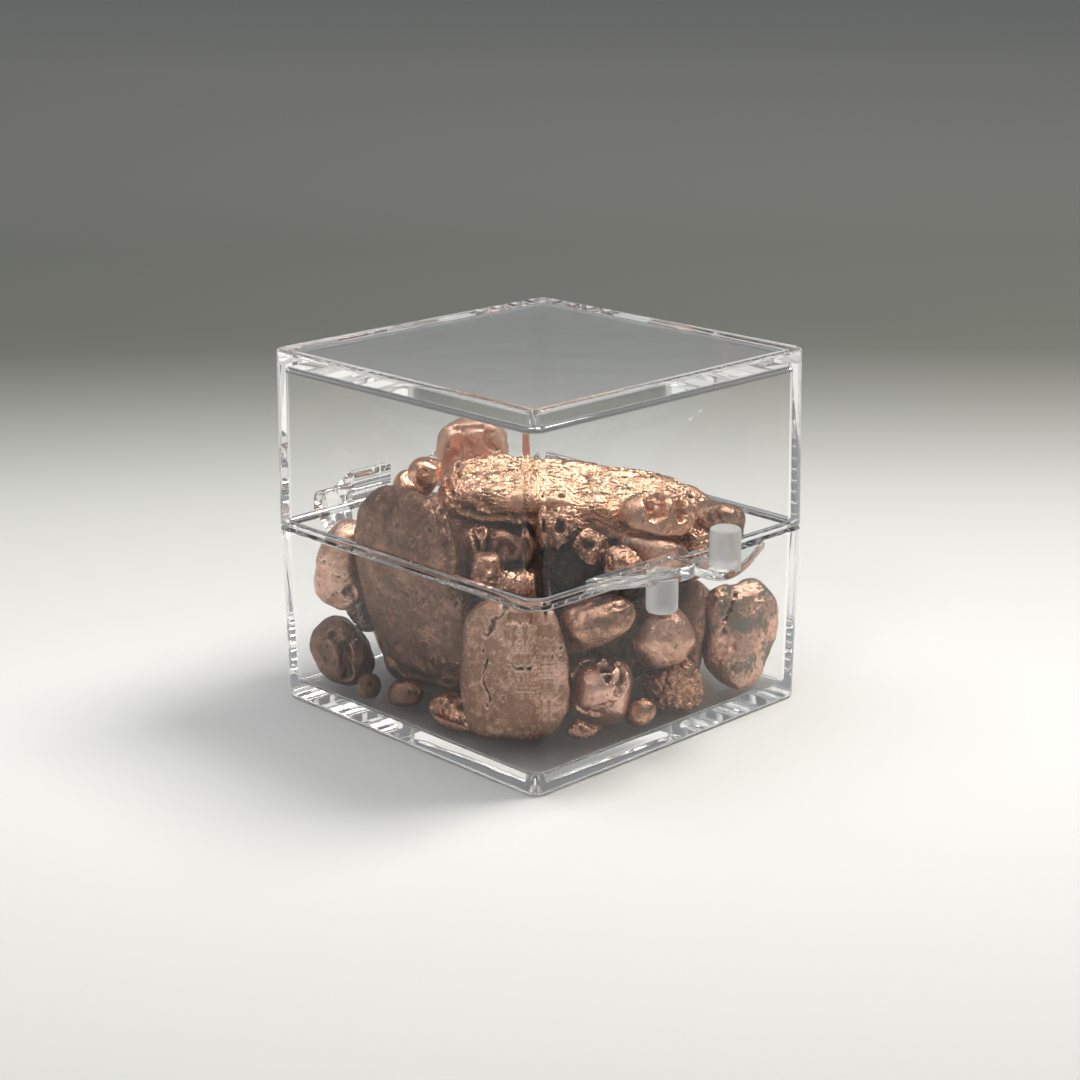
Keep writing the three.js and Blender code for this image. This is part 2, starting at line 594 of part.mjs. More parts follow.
function heap() {
  const all = NUGGETS.map((nugget) => ({
    ...nugget,
    centre: new THREE.Vector3(...nugget.at),
    halfSizes: new THREE.Vector3(...nugget.half),
    inverse: new THREE.Quaternion().setFromEuler(turnOf(nugget)).invert(),
  }));
  const group = new THREE.Group();
  for (const nugget of all) {
    group.add(nuggetMesh(nugget, all));
  }
  return group;
}

function named(name, geometry, material) {
  const mesh = new THREE.Mesh(geometry, material);
  mesh.name = name;
  return mesh;
}

const box = new THREE.Group();
box.add(named('box_base', buildBase(), clearPlastic));
box.add(named('box_lid', buildLid(), clearPlastic));
box.add(heap());

export default box;
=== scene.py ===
import functools
import math
from itertools import product
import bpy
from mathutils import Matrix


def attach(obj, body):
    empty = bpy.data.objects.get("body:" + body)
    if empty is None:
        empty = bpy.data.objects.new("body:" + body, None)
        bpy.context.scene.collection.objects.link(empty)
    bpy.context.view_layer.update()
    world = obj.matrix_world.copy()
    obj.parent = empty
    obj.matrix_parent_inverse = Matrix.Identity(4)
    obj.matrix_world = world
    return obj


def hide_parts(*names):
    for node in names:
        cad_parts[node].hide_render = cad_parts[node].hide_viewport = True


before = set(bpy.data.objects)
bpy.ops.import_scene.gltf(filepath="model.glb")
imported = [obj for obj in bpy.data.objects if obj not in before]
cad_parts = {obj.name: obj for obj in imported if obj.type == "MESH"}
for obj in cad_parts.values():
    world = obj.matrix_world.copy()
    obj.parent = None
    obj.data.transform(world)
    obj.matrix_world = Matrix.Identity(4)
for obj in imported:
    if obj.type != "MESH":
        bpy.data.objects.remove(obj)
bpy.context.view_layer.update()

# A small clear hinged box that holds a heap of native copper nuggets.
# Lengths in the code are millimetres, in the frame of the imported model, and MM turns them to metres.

from types import SimpleNamespace

import bpy
import numpy as np
from mathutils import Matrix

bl_info = {
    "name": "Copper Nuggets in a Clear Box",
    "version": (1, 0, 0),
    "blender": (4, 5, 0),
    "location": "3D View > Sidebar > Nuggets",
    "description": "Builds a clear hinged box, the copper nuggets in it and their stage",
    "category": "Add Mesh",
}

MM = 0.001


# Sizes and colours that a user would change


def length(name, description, default):
    """A size in metres whose default is given in millimetres."""
    return bpy.props.FloatProperty(
        name=name, description=description, default=default * MM, min=0.0, unit="LENGTH"
    )


def colour(name, description, default):
    """A linear colour of red, green and blue."""
    return bpy.props.FloatVectorProperty(
        name=name, description=description, default=default, size=3, min=0.0, max=1.0,
        subtype="COLOR",
    )


class BoxSizes(bpy.types.PropertyGroup):
    """Sizes of the clear box."""

    width: length("Width", "Outer width at the floor and at the lid's top", 32.0)
    height: length("Height", "Height of the closed box", 31.3)
    parting: length("Parting", "Height where base and lid meet", 15.7)
    parting_gap: length("Parting gap", "Space between base and lid", 0.3)
    draft: length("Draft", "How far each wall leans out to the parting", 0.27)
    wall: length("Wall", "Thickness of the walls at the floor", 1.05)
    floor: length("Floor", "Thickness of the floor", 1.4)
    ceiling: length("Ceiling", "Thickness of the lid's top", 1.5)
    corner: length("Corner", "Radius of the upright corners", 1.2)
    edge: length("Edge", "Rounding of the outer edges", 0.35)
    fillet: length("Fillet", "Rounding inside along floor and ceiling", 0.5)


class CopperColours(bpy.types.PropertyGroup):
    """Colours of the copper and of what covers it."""

    bright: colour("Bright", "Clean copper", (0.92, 0.5, 0.32))
    worn: colour("Worn", "Handled copper", (0.68, 0.38, 0.26))
    brown: colour("Brown", "Tarnished copper", (0.25, 0.135, 0.09))
    dirt: colour("Dirt", "Deposit in the pits", (0.045, 0.027, 0.018))
    grey: colour("Grey", "Grey patina", (0.42, 0.36, 0.31))
    olive: colour("Olive", "Olive patina", (0.45, 0.34, 0.2))
    pink: colour("Pink", "Raw pink copper between the patina", (0.92, 0.56, 0.43))


class StageLooks(bpy.types.PropertyGroup):
    """Floor and light around the box."""

    # The floor's colour carries painted light: near is the lit floor by the box, far is the painted
    # shade far behind it
    near: colour("Near", "Floor beside the box", (0.93, 0.93, 0.912))
    far: colour("Far", "Floor far behind the box", (0.164, 0.17, 0.15))
    key: bpy.props.FloatProperty(
        name="Key", description="Brightness of the main lamp", default=11.4, min=0.0
    )
    front: bpy.props.FloatProperty(
        name="Front", description="Brightness of the small front lamp", default=7.0, min=0.0
    )
    fill: bpy.props.FloatProperty(
        name="Fill", description="Brightness of the wide lamp overhead", default=1.8, min=0.0
    )
    sky: bpy.props.FloatProperty(
        name="Sky", description="Brightness all round", default=0.4, min=0.0
    )


# The photo's camera. Its pixels are those of a picture of 1080 by 1080

PHOTO_SIDE = 1080
FOCAL_PIXELS = 2201.2
SENSOR_WIDTH = 36.0
AZIMUTH = math.radians(-43.9065)
ELEVATION = math.radians(17.3097)
ROLL = math.radians(-0.3251)
DISTANCE = 189.86
AIM_HEIGHT = 16.0
AIM_RIGHT = 0.022
AIM_UP = -1.619
CLIP_NEAR = 0.005
CLIP_FAR = 20.0
MARK_REACH = 4


def camera_axes():
    """Right, up and back of the camera, from its azimuth, elevation and roll."""
    back = np.array([
        math.sin(AZIMUTH) * math.cos(ELEVATION),
        -math.cos(AZIMUTH) * math.cos(ELEVATION),
        math.sin(ELEVATION),
    ])
    level = np.array([math.cos(AZIMUTH), math.sin(AZIMUTH), 0.0])
    upright = np.cross(back, level)
    right = level * math.cos(ROLL) + upright * math.sin(ROLL)
    return right, np.cross(back, right), back


RIGHT, UP, BACK = camera_axes()
EYE = np.array([0.0, 0.0, AIM_HEIGHT]) + RIGHT * AIM_RIGHT + UP * AIM_UP + BACK * DISTANCE


def point_at(points, pixel):
    """The point of a surface that shows at a pixel of the photo: of those that lie almost as close
    to it as the closest one, the one that is nearest to the camera."""
    away = points - EYE
    depth = -(away @ BACK)
    across = PHOTO_SIDE / 2 + FOCAL_PIXELS * (away @ RIGHT) / depth
    down = PHOTO_SIDE / 2 - FOCAL_PIXELS * (away @ UP) / depth
    off = np.hypot(across - pixel[0], down - pixel[1])
    close = np.flatnonzero(off < off.min() + MARK_REACH)
    return points[close[np.argmin(depth[close])]]


# Objects and meshes


def add_object(name, data):
    """A new object of the scene."""
    made = bpy.data.objects.new(name, data)
    bpy.context.scene.collection.objects.link(made)
    return made


def placed(axes, place):
    """The matrix of three axes and a place in millimetres."""
    matrix = Matrix(np.column_stack(axes).tolist()).to_4x4()
    matrix.translation = place * MM
    return matrix


def mesh_of_quads(name, points, quads):
    """A smooth mesh of four-sided faces from whole arrays, points in millimetres."""
    mesh = bpy.data.meshes.new(name)
    mesh.vertices.add(len(points))
    mesh.vertices.foreach_set("co", (points * MM).astype(np.float32).ravel())
    mesh.loops.add(quads.size)
    mesh.loops.foreach_set("vertex_index", quads.astype(np.int32).ravel())
    mesh.polygons.add(len(quads))
    mesh.polygons.foreach_set("loop_start", np.arange(0, quads.size, 4, dtype=np.int32))
    mesh.update(calc_edges=True)
    mesh.validate()
    mesh.shade_smooth()
    return mesh


def closed_tube(name, grid, materials=(), slot=0):
    """A closed solid from a grid of points whose rows are rings: four-sided faces between the
    rings, which close round, and one flat face over the first and the last ring. Every face takes
    the material of that slot."""
    rows, columns = grid.shape[:2]
    index = np.arange(rows * columns).reshape(rows, columns)
    after = np.roll(index, -1, axis=1)
    quads = np.stack([index[:-1], after[:-1], after[1:], index[1:]], axis=-1).reshape(-1, 4)
    faces = quads.tolist() + [index[0, ::-1].tolist(), index[-1].tolist()]
    mesh = bpy.data.meshes.new(name)
    mesh.from_pydata((grid.reshape(-1, 3) * MM).tolist(), [], faces)
    for material in materials:
        mesh.materials.append(material)
    mesh.polygons.foreach_set("material_index", [slot] * len(faces))
    mesh.update()
    return add_object(name, mesh)


def give(piece, body, nodes):
    """Lets a piece ride on its body and hides the CAD nodes that it is for."""
    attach(piece, body)
    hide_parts(*nodes)


# Profiles and outlines

HOLD = 0.04
LONG_STRETCH = 0.16
ROUND_STEPS = 6
CORNER_STEPS = 12
SHARP_ANGLE = math.radians(32)


def arc(centre, radius, start, end, steps=ROUND_STEPS):
    """Points of an arc between two angles in degrees, both ends included."""
    angle = np.radians(np.linspace(start, end, steps + 1))
    return np.column_stack([centre[0] + radius * np.cos(angle), centre[1] + radius * np.sin(angle)])


def held(line, closed=False):
    """A line of points with one more point close to both ends of each long straight stretch, so
    that smooth shading keeps the stretch flat and turns only in the roundings."""
    ends = np.concatenate([line, line[:1]]) if closed else line
    kept = []
    for start, end in zip(ends[:-1], ends[1:]):
        span = np.linalg.norm(end - start)
        kept.append(start)
        if span > LONG_STRETCH:
            kept.append(start + (end - start) * HOLD / span)
            kept.append(end - (end - start) * HOLD / span)
    if not closed:
        kept.append(line[-1])
    return np.array(kept)


def square_rings(profile):
    """Rings of a square box with round corners. The two parameters are the step along the profile,
    whose rows give half the width, the height and the distance of the corner's centre from the
    axis, and the step round the square. A point is the corner's centre plus the rest of the half
    width along the corner's direction."""
    half, height, centre = profile.T
    angles, signs = [], []
    for corner in range(4):
        turn = np.linspace(0, 90, CORNER_STEPS + 1)
        turn = np.concatenate([[0], turn, [90]]) + 90 * corner
        angles.append(np.radians(turn))
        middle = math.radians(90 * corner + 45)
        signs.append(np.tile([math.cos(middle), math.sin(middle)], (len(turn), 1)) * math.sqrt(2))
    angles, signs = np.concatenate(angles), np.concatenate(signs)
    slide = np.zeros((4, CORNER_STEPS + 3))
    slide[:, 0], slide[:, -1] = -HOLD, HOLD
    slide = slide.ravel()
    radius = (half - centre)[:, None]
    x = centre[:, None] * signs[:, 0] + radius * np.cos(angles) - slide * np.sin(angles)
    y = centre[:, None] * signs[:, 1] + radius * np.sin(angles) + slide * np.cos(angles)
    z = np.broadcast_to(height[:, None], x.shape)
    return np.stack([x, y, z], axis=-1)


def side_normals(steps):
    """The outward unit normal of each step of an outline that runs anticlockwise."""
    return np.column_stack([steps[:, 1], -steps[:, 0]]) / np.linalg.norm(steps, axis=1)[:, None]


def prism(outline, thickness, rounding):
    """Rings of a plate with round rims. The two parameters are the step round the outline and the
    step along a quarter arc, a straight side and a quarter arc. A point is the outline's, moved in
    along the mitred normal by what the arc takes off."""
    before = side_normals(outline - np.roll(outline, 1, axis=0))
    after = side_normals(np.roll(outline, -1, axis=0) - outline)
    mitre = (before + after) / (1 + np.sum(before * after, axis=1))[:, None]
    side = np.concatenate([
        [[-rounding - HOLD, 0.0]],
        arc((-rounding, rounding), rounding, -90, 0),
        arc((-rounding, thickness - rounding), rounding, 0, 90),
        [[-rounding - HOLD, thickness]],
    ])
    side = held(side)
    plan = outline[None] + side[:, 0, None, None] * mitre[None]
    height = np.broadcast_to(side[:, 1, None, None], plan.shape[:2] + (1,))
    return np.concatenate([plan, height], axis=-1)


def turned(profile, sides):
    """Rings of a turned solid. The two parameters are the step along the profile, whose rows give
    radius and height, and the angle round the axis."""
    angle = np.linspace(0, 2 * math.pi, sides, endpoint=False)
    radius, height = profile[:, 0, None], profile[:, 1, None]
    x, y = radius * np.cos(angle), radius * np.sin(angle)
    return np.stack([x, y, np.broadcast_to(height, x.shape)], axis=-1)


def along_x(grid):
    """Turns rings that stand along Z so that they lie along X, with their plan in Y and Z."""
    return grid[..., [2, 0, 1]]


def combine(target, others, operation):
    """Joins other solids to the target or cuts them from it, and takes them away."""
    for other in others:
        modifier = target.modifiers.new(operation.title(), "BOOLEAN")
        modifier.operation = operation
        modifier.solver = "MANIFOLD"
        modifier.object = other
    depsgraph = bpy.context.evaluated_depsgraph_get()
    mesh = bpy.data.meshes.new_from_object(target.evaluated_get(depsgraph))
    old = target.data
    target.modifiers.clear()
    target.data = mesh
    bpy.data.meshes.remove(old)
    for other in others:
        bpy.data.meshes.remove(other.data)
    return target


# The clear box

CORNER_INSIDE = 0.6
RIM_ROUNDING = 0.12
LIP_HEIGHT = 0.45
LIP_THICKNESS = 0.45
LIP_CLEARANCE = 0.2
LIP_ROUNDING = 0.1

TAB_END = 1.1
TAB_LENGTH = 9.6
TAB_REACH = 3.4
TAB_NOSE = 1.2
TAB_SWEEP_FRONT = 3.6
TAB_SWEEP_BACK = 6.7
TAB_SWEEP_DISTANCE = 2.0
TAB_SWEEP_STEPS = 20
TAB_ROUNDING = 0.2
BASE_TAB_THICKNESS = 0.85
LID_TAB_THICKNESS = 1.15

PEG_RADIUS = 1.3
PEG_ROUNDING = 0.32
PEG_FROM_WALL = 2.05
PEG_ROOT = 0.4
PEG_SIDES = 56
BASE_PEG_X = 3.3
BASE_PEG_HEIGHT = 3.15
LID_PEG_X = -4.2
LID_PEG_HEIGHT = 2.5

HINGE_Y = 18.0
HINGE_Z = 16.2
PIN_RADIUS = 0.6
BORE_RADIUS = 0.8
HOOK_RADIUS = 1.25
HOOK_SPAN = (2.9, 7.1)
HOOK_TOP = 18.7
HOOK_MOUTH = 0.95
HOOK_ARC_END = 36
HOOK_STEPS = 24
MOUTH_SLANT = math.radians(45)
BRACKET_SPAN = (7.4, 9.6)
BRACKET_FOOT = 13.4
BRACKET_RADIUS = 0.95
BRACKET_STEPS = 16
HINGE_FLARE = 0.6
HINGE_FROM_PARTING = 0.2
HINGE_ROUNDING = 0.1
PIN_ROOT = 0.5
PIN_SIDES = 32
CUT_MARGIN = 1.0


def box_heights(sizes):
    """The levels and half widths that both halves are worked out from, in millimetres."""
    half = sizes.width / MM / 2
    inner = half - sizes.wall / MM
    return SimpleNamespace(
        half=half,
        half_at_parting=half + sizes.draft / MM,
        inner=inner,
        inner_at_parting=inner + sizes.draft / MM / 2,
        root=half - sizes.wall / MM / 3,
        base_top=(sizes.parting - sizes.parting_gap / 2) / MM,
        lid_rim=(sizes.parting + sizes.parting_gap / 2) / MM,
        outer_centre=half - sizes.corner / MM,
        inner_centre=inner - CORNER_INSIDE,
    )


def with_centre(line, centre):
    """A profile line with the distance of its corner centres as a third column."""
    line = held(line)
    return np.column_stack([line, np.full(len(line), centre)])


def base_shell(sizes):
    """The tray: up the outside from the rounded lower edge, over the rim and the lip, and down the
    inside to the fillet along the floor."""
    at = box_heights(sizes)
    edge, fillet, floor = sizes.edge / MM, sizes.fillet / MM, sizes.floor / MM
    lip_outer = at.inner_at_parting + LIP_THICKNESS
    lip_top = at.base_top + LIP_HEIGHT
    rim = at.half_at_parting - RIM_ROUNDING
    outside = np.concatenate([
        [[at.half - edge - HOLD, 0.0]],
        arc((at.half - edge, edge), edge, -90, 0),
        arc((rim, at.base_top - RIM_ROUNDING), RIM_ROUNDING, 0, 90),
    ])
    lip_centre = lip_top - LIP_ROUNDING
    inside = np.concatenate([
        [[lip_outer, at.base_top]],
        arc((lip_outer - LIP_ROUNDING, lip_centre), LIP_ROUNDING, 0, 90),
        arc((at.inner_at_parting + LIP_ROUNDING, lip_centre), LIP_ROUNDING, 90, 180),
        arc((at.inner - fillet, floor + fillet), fillet, 0, -90),
        [[at.inner - fillet - HOLD, floor]],
    ])
    profile = np.concatenate([
        with_centre(outside, at.outer_centre),
        with_centre(inside, at.inner_centre),
    ])
    return square_rings(profile)


def lid_shell(sizes):
    """The cover: down the inside from the fillet along the ceiling, round the rebate for the lip,
    and up the outside to the rounded upper edge."""
    at = box_heights(sizes)
    edge, fillet = sizes.edge / MM, sizes.fillet / MM
    top = sizes.height / MM
    ceiling = top - sizes.ceiling / MM
    rebate = at.inner_at_parting + LIP_THICKNESS + LIP_CLEARANCE
    rebate_top = at.base_top + LIP_HEIGHT + sizes.parting_gap / MM
    inside = np.concatenate([
        [[at.inner - fillet - HOLD, ceiling]],
        arc((at.inner - fillet, ceiling - fillet), fillet, 90, 0),
        [[at.inner_at_parting, rebate_top]],
        [[rebate, rebate_top]],
        [[rebate, at.lid_rim]],
    ])
    rim = at.half_at_parting - RIM_ROUNDING
    outside = np.concatenate([
        arc((rim, at.lid_rim + RIM_ROUNDING), RIM_ROUNDING, -90, 0),
        arc((at.half - edge, top - edge), edge, 0, 90),
        [[at.half - edge - HOLD, top]],
    ])
    profile = np.concatenate([
        with_centre(inside, at.inner_centre),
        with_centre(outside, at.outer_centre),
    ])
    return square_rings(profile)


def bezier(first, second, third, fourth, steps):
    """Points of a cubic curve with two control points between its ends."""
    t = np.linspace(0, 1, steps + 1)[:, None]
    points = [np.array(p, float) for p in (first, second, third, fourth)]
    shares = [(1 - t) ** 3, 3 * t * (1 - t) ** 2, 3 * t ** 2 * (1 - t), t ** 3]
    return sum(share * point for share, point in zip(shares, points))


def tab_outline(at):
    """The drop-shaped plan of a tab: a round nose by the middle of the wall, and an outer edge
    that sweeps back to the wall."""
    nose = -(at.half_at_parting + TAB_REACH)
    root = -at.root
    sweep = bezier(
        (TAB_END + TAB_NOSE, nose),
        (TAB_END + TAB_SWEEP_FRONT, nose),
        (TAB_END + TAB_SWEEP_BACK, root - TAB_SWEEP_DISTANCE),
        (TAB_END + TAB_LENGTH, -at.half_at_parting),
        TAB_SWEEP_STEPS,
    )
    return np.concatenate([
        [[TAB_END, root]],
        arc((TAB_END + TAB_NOSE, nose + TAB_NOSE), TAB_NOSE, 180, 270)[:-1],
        sweep,
        [[TAB_END + TAB_LENGTH, root]],
    ])


def tab(at, side, bottom, thickness, plastics):
    """One tab of the catch, to the right of the middle or, mirrored, to the left."""
    outline = tab_outline(at)
    if side < 0:
        outline = (outline * (-1, 1))[::-1]
    grid = prism(outline, thickness, TAB_ROUNDING)
    return closed_tube("tab", grid + (0, 0, bottom), plastics)


def peg(at, x, foot, tip, plastics):
    """One round peg of the catch, upright or hanging, in the second plastic, which is frosted."""
    tall = abs(tip - foot)
    profile = held(np.concatenate([
        [[PEG_RADIUS, 0.0]],
        arc((PEG_RADIUS - PEG_ROUNDING, tall - PEG_ROUNDING), PEG_ROUNDING, 0, 90),
        [[PEG_RADIUS - PEG_ROUNDING - HOLD, tall]],
    ]))
    grid = turned(profile, PEG_SIDES)
    if tip < foot:
        grid = grid * (1, -1, -1)
    place = (x, -(at.half_at_parting + PEG_FROM_WALL), foot)
    return closed_tube("peg", grid + place, plastics, 1)


def bar(radius, span):
    """A round bar on the hinge line."""
    profile = np.array([[radius, span[0]], [radius, span[1]]])
    return closed_tube("bar", along_x(turned(profile, PIN_SIDES)) + (0, HINGE_Y, HINGE_Z))


def bracket(at, span):
    """A bracket on the base's back wall that carries a stub pin."""
    top = at.base_top - HINGE_FROM_PARTING
    outline = np.concatenate([
        [[at.root, BRACKET_FOOT]],
        [[at.half_at_parting + HINGE_FLARE, BRACKET_FOOT]],
        [[HINGE_Y + BRACKET_RADIUS, HINGE_Z - BRACKET_RADIUS]],
        arc((HINGE_Y, HINGE_Z), BRACKET_RADIUS, 0, 180, BRACKET_STEPS),
        [[at.half_at_parting + HINGE_FLARE, top]],
        [[at.root, top]],
    ])
    grid = prism(outline, span[1] - span[0], HINGE_ROUNDING)
    return closed_tube("bracket", along_x(grid) + (span[0], 0, 0))


def hook(at, span):
    """A hook on the lid's back wall, open at 45 degrees below its bore."""
    bottom = at.lid_rim + HINGE_FROM_PARTING
    outline = np.concatenate([
        [[at.root, bottom]],
        [[at.half_at_parting + HINGE_FROM_PARTING, bottom]],
        arc((HINGE_Y, HINGE_Z), HOOK_RADIUS, 180, 360 + HOOK_ARC_END, HOOK_STEPS),
        [[at.half_at_parting + HINGE_FLARE, HOOK_TOP]],
        [[at.root, HOOK_TOP]],
    ])
    grid = prism(outline, span[1] - span[0], HINGE_ROUNDING)
    made = closed_tube("hook", along_x(grid) + (span[0], 0, 0))
    past = (span[0] - CUT_MARGIN, span[1] + CUT_MARGIN)
    reach = HOOK_RADIUS + CUT_MARGIN
    wide = HOOK_MOUTH / 2
    across, down = math.cos(MOUTH_SLANT), math.sin(MOUTH_SLANT)
    slot = np.array([[-wide, -reach], [wide, -reach], [wide, 0], [-wide, 0]])
    slot = slot @ np.array([[across, down], [-down, across]])
    rings = np.stack([np.column_stack([slot, np.full(4, x)]) for x in past])
    mouth = closed_tube("mouth", along_x(rings) + (0, HINGE_Y, HINGE_Z))
    return combine(made, [bar(BORE_RADIUS, past), mouth], "DIFFERENCE")


def both_sides(span):
    """A stretch of X on the right and its mirror image on the left."""
    return [span, (-span[1], -span[0])]


def finish_plastic(piece):
    """Smooths a joined solid and keeps its real edges sharp."""
    piece.data.shade_smooth()
    piece.data.set_sharp_from_angle(angle=SHARP_ANGLE)
    return piece


# Noise and relief, in millimetres, outwards where positive

NOISE_GAIN = 1.6
LAYER_SHIFT = 17.3
PIT_STEEPNESS = 1.6
SMALLEST_PIT = 0.4
HACKLE_WANDER = 0.45
HACKLE_FALL = 2.4
HOLE_STEEPNESS = 1.5
GROOVE_STEEPNESS = 1.3
RIPPLE_SEED = 91
LATTICE_PRIMES = (73856093, 19349663, 83492791)
SEED_PRIME = 2654435761
MIX_PRIME = 1274126177
MIX_BITS = 0x7FFFFFFFFFFF
TABLE_ROWS = 4096
RANDOM_TABLE = np.random.default_rng(7).random((TABLE_ROWS, 5))
SLOPE_TABLE = RANDOM_TABLE[:, :3] * 2 - 1


def rows_at(cells, seed):
    """A row of the random tables for each cell of a lattice: the cell's whole numbers times large
    primes, mixed by exclusive or and multiplication."""
    mixed = cells * LATTICE_PRIMES
    mixed = mixed[..., 0] ^ mixed[..., 1] ^ mixed[..., 2] ^ (seed * SEED_PRIME)
    for _ in range(2):
        mixed = (mixed ^ (mixed >> 13)) * MIX_PRIME & MIX_BITS
    return (mixed >> 11) % TABLE_ROWS


def noise(points, seed):
    """Smooth noise from about -1 to 1: a random slope at each corner of a unit lattice, and a
    smooth blend of the heights that the eight slopes around a point give there."""
    cell = np.floor(points).astype(np.int64)
    part = points - cell
    blend = part * part * part * (part * (part * 6 - 15) + 10)
    total = np.zeros(len(points))
    for corner in product((0, 1), repeat=3):
        slope = SLOPE_TABLE[rows_at(cell + corner, seed)]
        weight = np.prod(np.where(corner, blend, 1 - blend), axis=1)
        total += weight * np.einsum("ij,ij->i", slope, part - corner)
    return NOISE_GAIN * total


def layered(points, seed, layers=3, fall=0.5):
    """Noise with finer and weaker noise added to it, each layer twice as fine."""
    return sum(
        noise(points * 2 ** i + LAYER_SHIFT * i, seed + i) * fall ** i for i in range(layers)
    )


def bent(points, size, reach, seed):
    """The points, each moved by noise with lumps of that size, so that what is drawn wanders."""
    return points + reach * np.stack([noise(points / size, seed + i) for i in range(3)], axis=-1)


def ease(value):
    """A smooth step from 0 to 1."""
    value = np.clip(value, 0, 1)
    return value * value * (3 - 2 * value)


def pits(points, spacing, radius, depth, share, seed):
    """Round pits: in a share of the cells of a lattice, each cell has one at a random place in it,
    whose floor is a bowl. The radius, half the spacing at most, is that of the largest, and the
    smallest are that share of it. Where pits meet, what each leaves standing is multiplied."""
    cell = np.floor(points / spacing - 0.5).astype(np.int64)
    whole = np.ones(len(points))
    for step in product((0, 1), repeat=3):
        here = cell + step
        row = RANDOM_TABLE[rows_at(here, seed)]
        away = np.linalg.norm(points - (here + row[:, :3]) * spacing, axis=1)
        size = SMALLEST_PIT + (1 - SMALLEST_PIT) * row[:, 3]
        bowl = ease((1 - away / (radius * size)) * PIT_STEEPNESS) * size
        whole *= 1 - bowl * (row[:, 4] < share)
    return depth * (whole - 1)


def cracks(points, spacing, width, depth, seed):
    """Thin wandering cracks where a noise passes through zero, fading in and out."""
    field = layered(points / spacing, seed, layers=3, fall=0.6)
    share = ease(noise(points / (2 * spacing), seed + 7) * 2)
    return -depth * share * np.exp(-((field * spacing / width) ** 2))


def hackles(points, long, thin, height, seed):
    """Short sharp ridges along the third axis: where a noise that is stretched along it passes
    through zero it is highest, and it falls off as that noise grows either way."""
    stretched = points / (thin, thin, long)
    stretched = stretched + HACKLE_WANDER * noise(points / (2.5 * thin), seed + 5)[:, None]
    return height * (0.5 - HACKLE_FALL * np.abs(noise(stretched, seed)))


def hole(points, route, radius, depth, seed):
    """A steep hole with an uneven rim, round the first point of a route."""
    moved = bent(points, size=0.9 * radius, reach=0.45 * radius, seed=seed)
    away = np.linalg.norm(moved - route[0], axis=1)
    return -depth * ease(HOLE_STEEPNESS * (1 - away / radius))


def groove(points, route, width, depth, seed):
    """A wandering groove along a route of points, now deeper and now shallower."""
    moved = bent(points, size=1.1, reach=0.3, seed=seed)
    moved = bent(moved, size=0.4, reach=0.12, seed=seed + 3)
    away = np.full(len(points), np.inf)
    for start, end in zip(route[:-1], route[1:]):
        along = end - start
        share = np.clip((moved - start) @ along / (along @ along), 0, 1)
        away = np.minimum(away, np.linalg.norm(moved - start - share[:, None] * along, axis=1))
    deeper = 0.75 + 0.6 * noise(points / 0.9, seed + 6)
    return -depth * deeper * ease(GROOVE_STEEPNESS * (1 - away / width))


def ripples(points, centre, radius, spacing, height):
    """Level ripples that fade out from a centre."""
    fade = ease(HOLE_STEEPNESS * (1 - np.linalg.norm(points - centre, axis=1) / radius))
    wave = points[:, 2] + 0.2 * noise(points / 0.7, RIPPLE_SEED)
    return height * fade * (np.cos(2 * math.pi * wave / spacing) - 1)


# Reliefs of whole nuggets. Each takes the points along the nugget's own axes, the longest axis
# last, and a seed, and gives a soft part and a sharp part. A length that divides the points is the
# size of the lumps, and a number before a noise is their height

RIDGE_SLANT = math.radians(38)


def dents(own, seed, depth=0.4):
    """Wide soft dents, about a third of a small nugget across."""
    uneven = bent(own, size=2.0, reach=0.7, seed=seed)
    return pits(uneven, spacing=3.0, radius=1.45, depth=depth, share=0.75, seed=seed + 3)


def worn_relief(own, seed):
    """Rounded by wear: slow swells and dents, few small pits."""
    swell = 0.36 * layered(own / 3.0, seed, layers=2, fall=0.4)
    swell = swell + 0.025 * layered(own / 0.8, seed + 2, layers=2)
    uneven = bent(own, size=0.5, reach=0.15, seed=seed + 5)
    sharp = pits(uneven, spacing=1.0, radius=0.3, depth=0.16, share=0.3, seed=seed)
    sharp = sharp + cracks(own, spacing=2.2, width=0.08, depth=0.12, seed=seed + 3)
    return swell + dents(own, seed), sharp


def pitted_relief(own, seed):
    """Tarnished and pitted: flat swells, small pits in patches, and fine cracks."""
    patch = ease(0.3 + 1.6 * noise(own / 2.4, seed + 9))
    swell = 0.3 * layered(own / 3.6, seed, layers=2, fall=0.4) + 0.05 * noise(own / 1.2, seed + 2)
    swell = swell + 0.035 * layered(own / 0.5, seed + 4, layers=2) * (0.2 + patch)
    uneven = bent(own, size=0.4, reach=0.14, seed=seed + 5)
    large = pits(uneven, spacing=1.0, radius=0.28, depth=0.2, share=0.4, seed=seed)
    small = pits(uneven, spacing=0.5, radius=0.19, depth=0.12, share=0.5, seed=seed + 1)
    sharp = large * (0.3 + 0.7 * patch) + small * (0.15 + 0.85 * patch)
    sharp = sharp + cracks(own, spacing=2.6, width=0.07, depth=0.14, seed=seed + 3)
    return swell + dents(own, seed, depth=0.3), sharp


def rough_relief(own, seed):
    """Crusty and glittering: sharp small lumps with gaps between them."""
    lumps = np.abs(layered(own / 1.1, seed + 2, layers=3, fall=0.6))
    soft = 0.26 * layered(own / 1.9, seed, layers=2) - 0.2 * (1 - ease(lumps * 2.2))
    uneven = bent(own, size=0.5, reach=0.15, seed=seed + 5)
    sharp = pits(uneven, spacing=0.9, radius=0.36, depth=0.24, share=0.4, seed=seed)
    return soft + dents(own, seed), sharp


